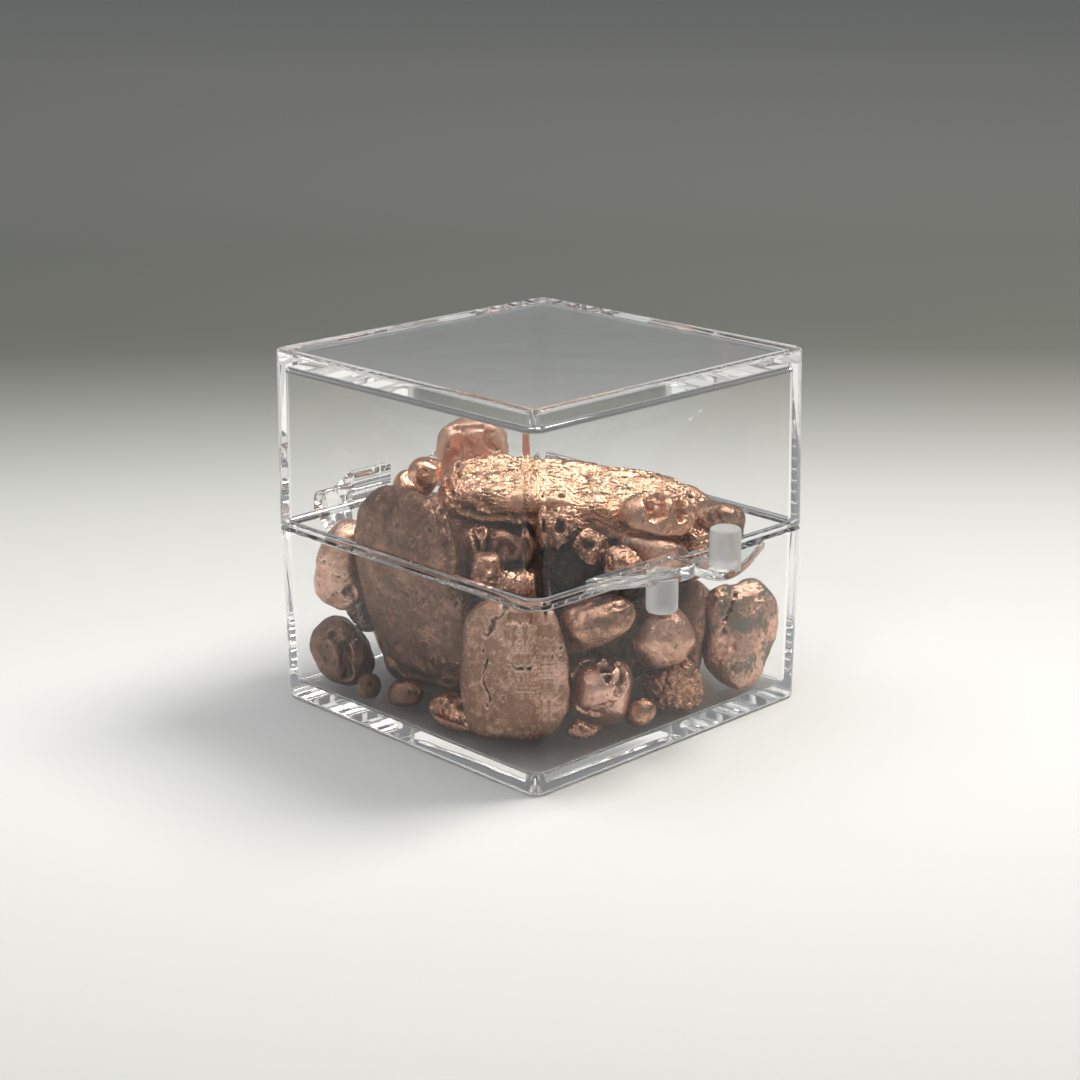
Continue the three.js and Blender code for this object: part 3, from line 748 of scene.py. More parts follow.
def lined_relief(own, seed):
    """Fibrous: long low ridges along the nugget, and few pits."""
    swell = 0.26 * layered(own / 3.0, seed, layers=2, fall=0.4)
    lines = noise(own / (0.7, 0.7, 4.5), seed + 4) + 0.5 * noise(own / (0.35, 0.35, 3.0), seed + 5)
    uneven = bent(own, size=0.5, reach=0.15, seed=seed + 5)
    sharp = pits(uneven, spacing=1.1, radius=0.24, depth=0.12, share=0.25, seed=seed)
    return swell + dents(own, seed, depth=0.25) + 0.05 * lines, sharp


def hackly_relief(own, seed):
    """Torn and crystalline: short sharp ridges that lean across the nugget, over broad ledges."""
    level, upright = math.cos(RIDGE_SLANT), math.sin(RIDGE_SLANT)
    lean = own @ np.array([[1, 0, 0], [0, level, -upright], [0, upright, level]])
    crust = np.abs(layered(own / 1.1, seed + 1, layers=3, fall=0.6))
    ledge = 0.42 * layered(own / 2.8, seed, layers=2, fall=0.5) + 0.1 * crust
    uneven = bent(lean, size=1.2, reach=0.4, seed=seed + 2)
    ridges = hackles(uneven, long=0.9, thin=0.4, height=0.09, seed=seed + 3)
    uneven = bent(lean, size=0.7, reach=0.3, seed=seed + 4)
    ridges = ridges + hackles(uneven, long=0.4, thin=0.3, height=0.08, seed=seed + 6)
    uneven = bent(own, size=0.6, reach=0.3, seed=seed)
    gaps = pits(uneven, spacing=1.2, radius=0.42, depth=0.26, share=0.3, seed=seed + 1)
    gaps = gaps + cracks(own, spacing=2.6, width=0.12, depth=0.22, seed=seed + 8)
    return ledge + ridges, gaps


# The nuggets: finish, relief, steps across one side of the ball, seed, and marks that the photo
# shows, each with its kind, its route in the photo's pixels, its radius or width and its depth.
# Ripples have their spacing and their height instead of a depth

NUGGETS = {
    "nugget_tall_slab": ("brown", pitted_relief, 90, 11, {
        "round pit": ("hole", [(462, 607)], 0.36, 0.35),
        "upper nick": ("hole", [(414, 543)], 0.3, 0.2),
        "side fold": ("valley", [(440, 488), (452, 525), (458, 560)], 0.7, 0.4),
        "second fold": ("groove", [(452, 505), (463, 550)], 0.3, 0.35),
        "groove over the rim": ("valley", [(382, 660), (408, 673), (432, 681), (466, 687)], 0.55, 0.35),
        "left chip": ("crack", [(361, 545), (385, 556), (404, 561)], 0.2, 0.14),
    }),
    "nugget_corner_lump": ("tan", pitted_relief, 76, 12, {
        "upper crack": ("crack", [(509, 602), (500, 612), (494, 622), (487, 634)], 0.26, 0.3),
        "long crack": ("crack", [(482, 640), (487, 660), (484, 676), (493, 702)], 0.2, 0.22),
        "black crack": ("crack", [(508, 664), (522, 670), (536, 671)], 0.2, 0.34),
        "upper hollow": ("hollow", [(521, 612)], 0.8, 0.35),
        "ripples on the left": ("ripples", [(524, 690)], 1.5, 0.34, 0.02),
        "ripples on the right": ("ripples", [(552, 672)], 1.4, 0.34, 0.022),
        "small pit": ("hole", [(489, 706)], 0.25, 0.22),
    }),
    "nugget_long_hackly_slab": ("hackly", hackly_relief, 108, 13, {
        "split on the left": ("groove", [(450, 462), (462, 472), (490, 470), (520, 466)], 0.3, 0.35),
        "end notch": ("groove", [(446, 476), (455, 490)], 0.5, 0.6),
        "olive hollow": ("hollow", [(487, 497)], 1.3, 0.3),
        "lower overhang": ("groove", [(465, 514), (500, 522), (535, 520)], 0.6, 0.6),
        "dip on the right": ("valley", [(600, 470), (612, 500)], 0.9, 0.35),
    }),
    "nugget_patina_heart": ("patina", pitted_relief, 66, 16, {
        "crack": ("crack", [(731, 588), (724, 608), (718, 630)], 0.26, 0.36),
        "notch": ("hollow", [(698, 598)], 0.7, 0.4),
        "grey hollow": ("hollow", [(725, 640)], 0.9, 0.2),
    }),
    "nugget_bright_knob": ("bright", worn_relief, 36, 14, {
        "dimple": ("hole", [(428, 470)], 0.3, 0.2),
    }),
    "nugget_top_back": ("pale", worn_relief, 50, 15, {
        "fold on the right": ("valley", [(497, 434), (494, 444), (498, 455)], 0.5, 0.4),
        "flat": ("hollow", [(465, 442)], 1.1, 0.25),
        "upper dip": ("valley", [(458, 425), (475, 432), (488, 424)], 0.5, 0.25),
    }),
    "nugget_front_lens": ("worn", lined_relief, 54, 17, {
        "upper nick": ("groove", [(606, 603), (624, 601)], 0.25, 0.2),
    }),
    "nugget_front_skull": ("blush", worn_relief, 60, 18, {
        "deep hole": ("hole", [(601, 660)], 0.75, 0.9),
        "side of the hole": ("hole", [(606, 672)], 0.5, 0.6),
        "left hole": ("hole", [(567, 668)], 0.55, 0.5),
        "dark crescent": ("groove", [(617, 658), (622, 675), (618, 692)], 0.45, 0.7),
        "lower fold": ("valley", [(574, 708), (592, 716), (608, 706)], 0.5, 0.35),
        "brow": ("valley", [(572, 655), (590, 648)], 0.5, 0.25),
    }),
    "nugget_front_pink": ("pink", pitted_relief, 54, 19, {}),
    "nugget_front_rough": ("worn", rough_relief, 54, 20, {}),
    "nugget_left_lump": ("pink", worn_relief, 46, 21, {
        "socket": ("hole", [(357, 594)], 0.8, 0.5),
    }),
    "nugget_left_knobby": ("brown", worn_relief, 50, 22, {
        "beside the left knob": ("valley", [(335, 631), (344, 642), (350, 658), (354, 676)], 0.7, 0.9),
        "below the upper knob": ("valley", [(352, 640), (362, 630), (366, 618)], 0.6, 0.6),
        "hole in the knob": ("hole", [(327, 644)], 0.3, 0.3),
    }),
    "nugget_left_dark": ("dark", rough_relief, 36, 23, {}),
    "nugget_left_pebble": ("brown", worn_relief, 26, 24, {
        "small hole": ("hole", [(374, 686)], 0.36, 0.4),
    }),
    "nugget_low_pebble": ("brown", worn_relief, 26, 25, {
        "left pit": ("hole", [(413, 690)], 0.3, 0.3),
        "right pit": ("hole", [(425, 687)], 0.32, 0.35),
    }),
    "nugget_floor_plate": ("worn", worn_relief, 36, 26, {
        "hollow face": ("hollow", [(462, 704)], 1.7, 0.4),
    }),
    "nugget_candle": ("worn", lined_relief, 34, 27, {
        "dished top": ("hollow", [(493, 567)], 0.8, 0.25),
        "shoulder": ("valley", [(478, 578), (492, 582), (506, 579)], 0.4, 0.3),
    }),
    "nugget_corner_crumb": ("glitter", rough_relief, 32, 28, {}),
    "nugget_fan": ("worn", lined_relief, 34, 29, {
        "left fold": ("groove", [(470, 526), (480, 552)], 0.35, 0.4),
        "right fold": ("groove", [(488, 527), (481, 552)], 0.35, 0.4),
    }),
    "nugget_arch": ("brown", worn_relief, 34, 30, {
        "deep hollow": ("hollow", [(508, 556)], 1.3, 0.8),
    }),
    "nugget_lobed": ("polished", pitted_relief, 48, 31, {
        "between the lobes": ("valley", [(647, 486), (650, 506)], 1.1, 1.1),
        "gap on the right": ("valley", [(679, 486), (681, 514)], 0.8, 0.9),
    }),
    "nugget_barrel": ("worn", worn_relief, 38, 32, {
        "front hollow": ("hollow", [(706, 519)], 0.9, 0.35),
        "waist": ("valley", [(737, 506), (738, 528)], 0.5, 0.35),
    }),
    "nugget_under_barrel": ("glitter", rough_relief, 36, 33, {}),
    "nugget_hollow_lump": ("glitter", rough_relief, 36, 34, {
        "deep hole": ("hole", [(559, 523)], 0.75, 0.9),
    }),
    "nugget_ring_lump": ("mottled", rough_relief, 34, 35, {
        "deep hole": ("hole", [(580, 540)], 0.9, 0.9),
    }),
    "nugget_glittery": ("glitter", rough_relief, 34, 36, {}),
    "nugget_grey_face": ("patina", worn_relief, 38, 37, {
        "upper groove": ("valley", [(645, 530), (662, 524), (680, 528)], 0.5, 0.35),
    }),
    "nugget_low_crumb_left": ("worn", rough_relief, 26, 38, {}),
    "nugget_low_crumb_right": ("worn", pitted_relief, 30, 39, {}),
    "nugget_behind_pink": ("brown", pitted_relief, 36, 40, {}),
    "nugget_behind_knob": ("bright", worn_relief, 30, 41, {}),
    "nugget_low_middle_left": ("brown", pitted_relief, 28, 51, {}),
    "nugget_low_middle_right": ("brown", pitted_relief, 28, 52, {}),
    "nugget_low_right": ("worn", pitted_relief, 34, 53, {}),
    "nugget_low_back_left": ("brown", pitted_relief, 38, 54, {}),
    "nugget_low_back_middle": ("worn", worn_relief, 38, 55, {}),
    "nugget_low_back_right": ("brown", pitted_relief, 36, 56, {}),
    "nugget_middle_left": ("brown", worn_relief, 26, 63, {}),
    # Painted shade: this nugget sits in the dark pocket, and its finish is darkened to stand for the
    # shade there
    "nugget_middle_front": ("shaded", pitted_relief, 34, 64, {}),
    "nugget_high_left": ("brown", worn_relief, 30, 57, {}),
    # Painted shade: this nugget sits in the dark pocket, and its finish is darkened to stand for the
    # shade there
    "nugget_high_front": ("shaded", pitted_relief, 34, 58, {}),
    "nugget_high_right": ("worn", pitted_relief, 32, 59, {}),
    "nugget_high_back_left": ("worn", pitted_relief, 36, 60, {}),
    "nugget_high_back_middle": ("worn", lined_relief, 36, 61, {}),
    "nugget_high_back_right": ("patina", pitted_relief, 34, 62, {}),
}

# The shape of each kind of mark, and the share of its depth that is sharp and gathers dirt

MARK_KINDS = {
    "hollow": (hole, 0.0),
    "valley": (groove, 0.0),
    "hole": (hole, 0.4),
    "groove": (groove, 0.4),
    "crack": (groove, 1.0),
}
MOST_OUT = 0.16
WALL_CLEARANCE = 0.06
CAVITY_DEPTH = 0.3
CREST_FROM = 0.008
CREST_RISE = 0.02


@functools.cache
def ball_grid(steps):
    """Unit directions and four-sided faces of a ball of six square grids. The two parameters of a
    grid run over one side of a cube, are warped by the tangent so that the cells are alike in
    size, and are drawn in to the ball. The rims that the grids share are merged."""
    line = np.arange(-steps, steps + 1, 2)
    u, v = np.meshgrid(line, line, indexing="ij")
    index = np.arange(u.size).reshape(u.shape)
    cells = np.stack([index[:-1, :-1], index[1:, :-1], index[1:, 1:], index[:-1, 1:]], axis=-1)
    cells = cells.reshape(-1, 4)
    sides, quads = [], []
    for axis, sign in product(range(3), (1, -1)):
        side = np.empty((u.size, 3), int)
        side[:, axis] = sign * steps
        side[:, (axis + 1) % 3] = u.ravel()
        side[:, (axis + 2) % 3] = v.ravel()
        quads.append((cells if sign > 0 else cells[:, ::-1]) + len(sides) * u.size)
        sides.append(side)
    corners, merged = np.unique(np.concatenate(sides), axis=0, return_inverse=True)
    warped = np.tan(corners / steps * math.pi / 4)
    directions = warped / np.linalg.norm(warped, axis=1, keepdims=True)
    return directions, merged.reshape(-1)[np.concatenate(quads)]


def distances_cubed(first, second):
    """The cube of the distance between each two of two sets of unit directions."""
    return np.maximum(2 - 2 * first @ second.T, 0) ** 1.5


def nugget_surface(node, steps):
    """The smooth closed surface through the corners of a CAD nugget. Along each direction of the
    nugget's own axes, scaled to its half sizes, its reach is a sum of cubed distances to the
    corners' directions and a linear part, solved so that it passes through every corner."""
    flat = np.empty(len(node.data.vertices) * 3, np.float32)
    node.data.vertices.foreach_get("co", flat)
    corners = np.unique(np.round(flat.reshape(-1, 3).astype(float) / MM, 3), axis=0)
    centre = corners.mean(axis=0)
    axes = np.linalg.eigh(np.cov((corners - centre).T))[1]
    axes[:, 0] *= np.sign(np.linalg.det(axes))
    scaled = (corners - centre) @ axes
    half_sizes = np.abs(scaled).max(axis=0)
    scaled /= half_sizes
    reach = np.linalg.norm(scaled, axis=1)
    known = scaled / reach[:, None]
    linear = np.column_stack([np.ones(len(known)), known])
    matrix = np.block([[distances_cubed(known, known), linear], [linear.T, np.zeros((4, 4))]])
    weights = np.linalg.solve(matrix, np.concatenate([reach, np.zeros(4)]))
    directions, quads = ball_grid(steps)
    reach = distances_cubed(directions, known) @ weights[:-4]
    reach += weights[-4] + directions @ weights[-3:]
    own = directions * reach[:, None] * half_sizes
    return own @ axes.T + centre, own, quads


def normals_of(points, quads):
    """Unit normals at the points, each the sum of what the cross products of the diagonals of the
    faces around it give."""
    first, second, third, fourth = (points[corner] for corner in quads.T)
    cross = np.cross(third - first, fourth - second)
    total = np.zeros_like(points)
    for corner in quads.T:
        np.add.at(total, corner, cross)
    return total / np.linalg.norm(total, axis=1, keepdims=True)


def crests_of(points, normals, quads):
    """How far each point stands above the middle of its neighbours, along its normal."""
    total, count = np.zeros_like(points), np.zeros(len(points))
    for start, end in zip(quads.T, np.roll(quads, -1, axis=1).T):
        np.add.at(total, start, points[end])
        np.add.at(count, start, 1)
    return np.sum((points - total / count[:, None]) * normals, axis=1)


def add_mark(points, soft, sharp, mark, seed):
    """The soft and the sharp part of a relief with one more mark, placed on the surface where the
    photo shows it."""
    kind, pixels, size, *rest = mark
    route = [point_at(points, pixel) for pixel in pixels]
    if kind == "ripples":
        return soft + ripples(points, route[0], size, *rest), sharp
    shape, dirt = MARK_KINDS[kind]
    relief = shape(points, route, size, *rest, seed)
    return soft + (1 - dirt) * relief, sharp + dirt * relief


def kept_inside(points, sizes):
    """The points, with those that would enter a wall or the floor moved back to just before it."""
    side = (sizes.width / 2 - sizes.wall) / MM - WALL_CLEARANCE
    points[:, :2] = np.clip(points[:, :2], -side, side)
    points[:, 2] = np.maximum(points[:, 2], sizes.floor / MM + WALL_CLEARANCE)
    return points


def build_nugget(name, finishes, sizes):
    """Builds one nugget around its CAD node, with its relief, its marks and two attributes for its
    finish: cavity, from 0 to 1 in pits and cracks, and crest, from 0 to 1 on sharp rises."""
    finish, relief, steps, seed, marks = NUGGETS[name]
    points, own, quads = nugget_surface(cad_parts[name], steps)
    soft, sharp = relief(own, seed)
    for index, mark in enumerate(marks.values()):
        soft, sharp = add_mark(points, soft, sharp, mark, seed + index)
    normals = normals_of(points, quads)
    lift = np.minimum(soft + sharp, MOST_OUT)
    points = kept_inside(points + normals * lift[:, None], sizes)
    crest = crests_of(points, normals_of(points, quads), quads)
    mesh = mesh_of_quads(name + "_skin", points, quads)
    layers = {"cavity": -sharp / CAVITY_DEPTH, "crest": (crest - CREST_FROM) / CREST_RISE}
    for layer, values in layers.items():
        attribute = mesh.attributes.new(layer, "FLOAT", "POINT")
        attribute.data.foreach_set("value", np.clip(values, 0, 1).astype(np.float32))
    material, slot = finishes[finish]
    mesh.materials.append(material)
    give(add_object(name + "_skin", mesh), "base", [name])


# Materials

PATCH_MIDDLE = 0.66
PATCH_SPREAD = 0.3
PATCH_SOFTNESS = 0.1
PATCH_WEAR = 0.7
PIT_DARKNESS = 0.6
PIT_DEPTH = 0.5
# How much lighter than the clean copper the crests are coloured, partly worn bare metal and partly
# painted highlight
CREST_HIGHLIGHT = 1.5
CREST_COVER = 0.6
CREST_GLOSS = 0.1
DIRT_COVER = 0.85
DIRT_ROUGHNESS = 0.3
DIRT_DULLNESS = 0.8
SPECK_ROUGHNESS = 0.25
PATINA_WEAR = 0.8
PATINA_GLOSS = 0.32
PATINA_ROUGHNESS = 0.22
PATINA_BUMP = 0.12
FACET_TURN = (0.3, 0.5, 0.9)
FACET_SIZE = (0.16, 0.16, 0.5)
PLASTIC_TONE = (1.0, 1.003, 1.002)
PLASTIC_GLARE = (0.22, 0.22, 0.22)
PLASTIC_IOR = 1.49
WAVE_HEIGHT = 0.02
WAVE_STRENGTH = 0.4


class Value:
    """A socket that carries one number. Python's operators on it add Math nodes."""

    def __init__(self, finish, socket):
        self.finish = finish
        self.socket = socket

    def maths(self, operation, *values):
        """A Math node of that operation on these values."""
        node = self.finish.node("ShaderNodeMath", {"operation": operation}, dict(enumerate(values)))
        return Value(self.finish, node.outputs[0])

    def __add__(self, other):
        return self.maths("ADD", self, other)

    __radd__ = __add__

    def __sub__(self, other):
        return self.maths("SUBTRACT", self, other)

    def __rsub__(self, other):
        return self.maths("SUBTRACT", other, self)

    def __mul__(self, other):
        return self.maths("MULTIPLY", self, other)

    __rmul__ = __mul__

    def __truediv__(self, other):
        return self.maths("DIVIDE", self, other)

    def __rtruediv__(self, other):
        return self.maths("DIVIDE", other, self)


class Finish:
    """The nodes of one material or of the world, which owns them."""

    def __init__(self, owner, shader="ShaderNodeBsdfPrincipled", output="ShaderNodeOutputMaterial"):
        self.owner = owner
        self.owner.use_nodes = True
        self.tree = owner.node_tree
        self.tree.nodes.clear()
        self.shader = self.node(shader, {}, {})
        self.node(output, {}, {"Surface": self.shader.outputs[0]})

    def node(self, kind, settings, sockets):
        """A node of that kind: its settings first, then the values or links of its sockets."""
        made = self.tree.nodes.new(kind)
        for key, value in settings.items():
            if key == "stops":
                for extra in range(len(value) - 2):
                    made.color_ramp.elements.new((extra + 1) / len(value))
                for element, (position, tone) in zip(made.color_ramp.elements, value):
                    element.position = position
                    element.color = (*tone, 1.0)
            else:
                setattr(made, key, value)
        self.connect(made, sockets)
        return made

    def connect(self, made, sockets):
        """Sets or links sockets of a node, by name or by number."""
        for key, value in sockets.items():
            value = value.socket if isinstance(value, Value) else value
            if isinstance(value, bpy.types.NodeSocket):
                self.tree.links.new(value, made.inputs[key])
            elif made.inputs[key].type == "RGBA":
                made.inputs[key].default_value = (*value, 1.0)
            else:
                made.inputs[key].default_value = value

    def place(self):
        """Object coordinates in millimetres."""
        coordinates = self.node("ShaderNodeTexCoord", {}, {})
        scaled = self.node(
            "ShaderNodeVectorMath", {"operation": "SCALE"},
            {"Vector": coordinates.outputs["Object"], "Scale": 1 / MM},
        )
        return scaled.outputs[0]

    def noise(self, place, size, detail=3.0, roughness=0.55, warp=0.0):
        """Noise from 0 to 1 with lumps of about that size in millimetres."""
        made = self.node(
            "ShaderNodeTexNoise", {},
            {"Vector": place, "Scale": 1 / size, "Detail": detail, "Roughness": roughness,
             "Distortion": warp},
        )
        return Value(self, made.outputs[0])

    def attribute(self, name):
        """A number that the mesh carries."""
        made = self.node("ShaderNodeAttribute", {"attribute_name": name}, {})
        return Value(self, made.outputs["Fac"])

    def step(self, value, low, high):
        """A smooth step from 0 at low to 1 at high."""
        made = self.node(
            "ShaderNodeMapRange", {"interpolation_type": "SMOOTHSTEP"},
            {"Value": value, "From Min": low, "From Max": high},
        )
        return Value(self, made.outputs[0])

    def mix(self, first, second, share):
        """A colour between two colours."""
        made = self.node(
            "ShaderNodeMix", {"data_type": "RGBA"}, {"Factor": share, 6: first, 7: second},
        )
        return made.outputs[2]

    def bump(self, height, distance, strength=1.0):
        """A normal from a height that is measured in shares of a distance in millimetres."""
        made = self.node(
            "ShaderNodeBump", {},
            {"Strength": strength, "Distance": distance * MM, "Height": height},
        )
        return made.outputs[0]


def copper_finish(name, colours, clean, tarnish, tarnish_share, gloss, dull, bump, glitter):
    """Copper: clean metal and tarnish in soft patches, dirt in the cavities and in small pits, and on
    the crests a colour lighter than the clean copper, partly worn bare metal and partly a painted
    highlight. The patches are noise on Object coordinates. Glitter is the share of small torn facets in
    the bump, from noise that is stretched along one slant."""
    finish = Finish(bpy.data.materials.new(name))
    place = finish.place()
    broad = finish.noise(place, size=2.2, detail=4.0, roughness=0.65, warp=0.5)
    fine = finish.noise(place, size=0.55, detail=5.0, roughness=0.7)
    speck = finish.noise(place, size=0.2, detail=3.0, roughness=0.65)
    cavity = finish.attribute("cavity")
    crest = finish.attribute("crest")
    middle = PATCH_MIDDLE - PATCH_SPREAD * tarnish_share
    patch = finish.step(broad * 0.5 + fine * 0.5, middle - PATCH_SOFTNESS, middle + PATCH_SOFTNESS)
    patch = patch * (1 - PATCH_WEAR * crest)
    small_pits = finish.step(speck, low=0.57, high=0.65) * finish.step(fine, low=0.45, high=0.6)
    dirt = finish.step(cavity, low=0.12, high=0.9) + small_pits * (PIT_DARKNESS * (1 - glitter))
    tone = finish.mix(clean, tarnish, patch)
    # Painted highlight: the crests take a colour lighter than the clean copper, partly worn bare metal
    # and partly painted highlight
    bare_and_highlight = tuple(min(CREST_HIGHLIGHT * part, 1.0) for part in clean)
    tone = finish.mix(tone, bare_and_highlight, crest * CREST_COVER)
    tone = finish.mix(tone, tuple(colours.dirt), dirt * DIRT_COVER)
    roughness = gloss + patch * (dull - gloss) + (speck - 0.5) * SPECK_ROUGHNESS
    roughness = roughness + dirt * DIRT_ROUGHNESS - crest * CREST_GLOSS
    height = fine * 0.5 + speck * 0.5 - small_pits * PIT_DEPTH
    if glitter:
        slanted = finish.node(
            "ShaderNodeMapping", {"vector_type": "TEXTURE"},
            {"Vector": place, "Rotation": FACET_TURN, "Scale": FACET_SIZE},
        )
        facets = finish.noise(slanted.outputs[0], size=1.0, detail=3.0, roughness=0.6, warp=0.6)
        height = height * (1 - glitter) + facets * glitter
    finish.connect(finish.shader, {
        "Base Color": tone,
        "Metallic": 1 - dirt * DIRT_DULLNESS,
        "Roughness": roughness,
        "Normal": finish.bump(height, bump),
    })
    return finish.owner


def patina_finish(name, colours):
    """Copper under grey and olive patina, with raw pink metal where it has worn through."""
    finish = Finish(bpy.data.materials.new(name))
    place = finish.place()
    broad = finish.noise(place, size=3.4, detail=3.0, roughness=0.6, warp=0.6)
    second = finish.noise(place, size=1.5, detail=4.0, roughness=0.65, warp=0.8)
    fine = finish.noise(place, size=0.4, detail=4.0, roughness=0.7)
    cavity = finish.attribute("cavity")
    crest = finish.attribute("crest")
    film = finish.step(broad + (fine - 0.5) * 0.4, low=0.49, high=0.6) * (1 - PATINA_WEAR * crest)
    olive = finish.step(second + (fine - 0.5) * 0.3, low=0.47, high=0.58)
    dirt = finish.step(cavity + (fine - 0.6) * 0.9, low=0.1, high=0.8)
    metal = finish.mix(tuple(colours.pink), tuple(colours.worn), finish.step(fine, low=0.42, high=0.66))
    cover = finish.mix(tuple(colours.grey), tuple(colours.olive), olive)
    tone = finish.mix(metal, cover, film)
    tone = finish.mix(tone, tuple(colours.dirt), dirt * 0.8)
    finish.connect(finish.shader, {
        "Base Color": tone,
        "Metallic": (1 - film * 0.6) * (1 - dirt * 0.5),
        "Roughness": PATINA_GLOSS + film * PATINA_ROUGHNESS + dirt * DIRT_ROUGHNESS,
        "Normal": finish.bump(fine, PATINA_BUMP),
    })
    return finish.owner


def copper_finishes(colours):
    """Every copper finish, with the record's slot that it stands for. A row gives its name, the
    clean and the tarnished colour, the share of the tarnish, the roughness of both, the bump in
    millimetres, the share of glitter, and the slot."""
    bright, worn = tuple(colours.bright), tuple(colours.worn)
    brown, grey, pink = tuple(colours.brown), tuple(colours.grey), tuple(colours.pink)
    # Painted shade: brown darkened to 0.15 of itself, for nuggets that sit in shade deep in the heap
    painted_shade = tuple(tone * 0.15 for tone in brown)
    middle = tuple((first + second) / 2 for first, second in zip(worn, brown))
    kinds = {
        "bright": ("bright copper", bright, worn, 0.25, 0.2, 0.32, 0.06, 0.0, "copper_bright"),
        "pale": ("pale copper", pink, bright, 0.3, 0.36, 0.46, 0.2, 0.3, "copper_bright"),
        "hackly": ("hackly copper", bright, worn, 0.75, 0.2, 0.36, 0.1, 0.7, "copper_bright"),
        "glitter": ("glittering copper", worn, brown, 0.5, 0.2, 0.34, 0.1, 0.6, "copper_bright"),
        "polished": ("polished copper", bright, worn, 0.6, 0.22, 0.34, 0.07, 0.0, "copper_bright"),
        "blush": ("blush copper", pink, worn, 0.15, 0.3, 0.4, 0.08, 0.0, "copper_worn"),
        "pink": ("pink copper", pink, worn, 0.5, 0.27, 0.38, 0.1, 0.0, "copper_worn"),
        "worn": ("worn copper", worn, brown, 0.5, 0.25, 0.38, 0.1, 0.0, "copper_worn"),
        "tan": ("tan copper", pink, middle, 0.75, 0.32, 0.42, 0.2, 0.0, "copper_brown"),
        "brown": ("brown copper", middle, brown, 0.65, 0.26, 0.4, 0.18, 0.0, "copper_brown"),
        "mottled": ("mottled copper", worn, brown, 0.6, 0.24, 0.4, 0.12, 0.4, "copper_mottled"),
        "dark": ("dark copper", brown, grey, 0.5, 0.3, 0.45, 0.1, 0.3, "copper_mottled"),
        # Painted shade: dark brown going to nearly black, standing for the shade on the nuggets in the
        # dark pocket rather than for their colour
        "shaded": ("shaded copper", brown, painted_shade, 1.0, 0.6, 0.75, 0.1, 0.0, "copper_brown"),
    }
    finishes = {
        key: (copper_finish(name, colours, *numbers), slot)
        for key, (name, *numbers, slot) in kinds.items()
    }
    finishes["patina"] = (patina_finish("patina copper", colours), "copper_mottled")
    return finishes


def clear_plastic(name, roughness, marks, whiteness, clearness):
    """Clear moulded plastic: plain transmission, with faint flow waves and fine marks. What is not
    clear scatters white."""
    finish = Finish(bpy.data.materials.new(name))
    place = finish.place()
    waves = finish.noise(place, size=6.0, detail=1.0)
    scuffs = finish.noise(place, size=0.35, detail=3.0, roughness=0.7)
    finish.connect(finish.shader, {
        "Base Color": tuple(whiteness * part for part in PLASTIC_TONE),
        "Transmission Weight": clearness,
        "IOR": PLASTIC_IOR,
        "Specular Tint": PLASTIC_GLARE,
        "Roughness": roughness + finish.step(scuffs, low=0.6, high=0.8) * marks,
        "Normal": finish.bump(waves, WAVE_HEIGHT, WAVE_STRENGTH),
    })
    return finish.owner


# The stage

MOST_BOUNCES = 40
EXPOSURE = 0.24
SKY_TONE = (0.95, 0.975, 1.0)
SKY_STOPS = ((0.0, 0.6), (0.3, 0.7), (0.45, 0.4), (0.65, 0.35), (1.0, 1.0))
FLOOR_ROUGHNESS = 0.7
FLOOR_SHINE = 0.2
FLOOR_DROP = 0.06
FLOOR_REACH = 2500.0
FLOOR_ACROSS = 0.35
FLOOR_CENTRE_AHEAD = -8.0
# Painted light and shade on the floor: the share of the near colour at each distance from the box in
# millimetres, bright by the box, then painted shade down to a darkest band, and a little lighter far
# behind
FLOOR_LIGHT_STOPS = (
    (0, 1.0), (20, 0.92), (35, 0.85), (50, 0.783), (60, 0.724), (70, 0.654), (80, 0.56), (92, 0.434),
    (105, 0.309), (119, 0.19), (134, 0.092), (151, 0.013), (170, 0.0), (240, 0.02), (318, 0.09),
    (430, 0.18), (607, 0.3), (920, 0.32),
)

# Each lamp's direction as shares across the view, ahead and up, its distance and its two sides in
# millimetres, and its colour

WARM = (1.0, 0.96, 0.9)
COOL = (0.95, 0.98, 1.0)
LAMPS = {
    "key": ((0.5, 0.2, 1.0), 420, (180, 180), WARM),
    "fill": ((-0.4, 0.1, 1.0), 400, (220, 260), COOL),
    "front": ((-0.4, -0.8, 0.8), 420, (90, 70), WARM),
}


def floor_finish(looks):
    """A pale floor whose colour carries painted light and shade: lightest by the box and darkening with
    the distance from it, more slowly to the sides of the view than along it, down to a darkest band and
    a little lighter again far behind."""
    finish = Finish(bpy.data.materials.new("floor"))
    place = finish.place()
    centre = -BACK * (1, 1, 0) * FLOOR_CENTRE_AHEAD
    turned_place = finish.node(
        "ShaderNodeMapping", {"vector_type": "TEXTURE"},
        {"Vector": place, "Location": tuple(centre), "Rotation": (0.0, 0.0, AZIMUTH),
         "Scale": (1 / FLOOR_ACROSS, 1.0, 1.0)},
    )
    distance = finish.node(
        "ShaderNodeVectorMath", {"operation": "LENGTH"}, {0: turned_place.outputs[0]},
    )
    far = FLOOR_LIGHT_STOPS[-1][0]
    near_tone, far_shade_tone = np.array(looks.near), np.array(looks.far)
    stops = [
        (reach / far, tuple(far_shade_tone + (near_tone - far_shade_tone) * share))
        for reach, share in FLOOR_LIGHT_STOPS
    ]
    ramp = finish.node(
        "ShaderNodeValToRGB", {"stops": stops}, {0: Value(finish, distance.outputs["Value"]) / far},
    )
    finish.connect(finish.shader, {
        "Base Color": ramp.outputs[0],
        "Roughness": FLOOR_ROUGHNESS,
        "Specular IOR Level": FLOOR_SHINE,
    })
    return finish.owner


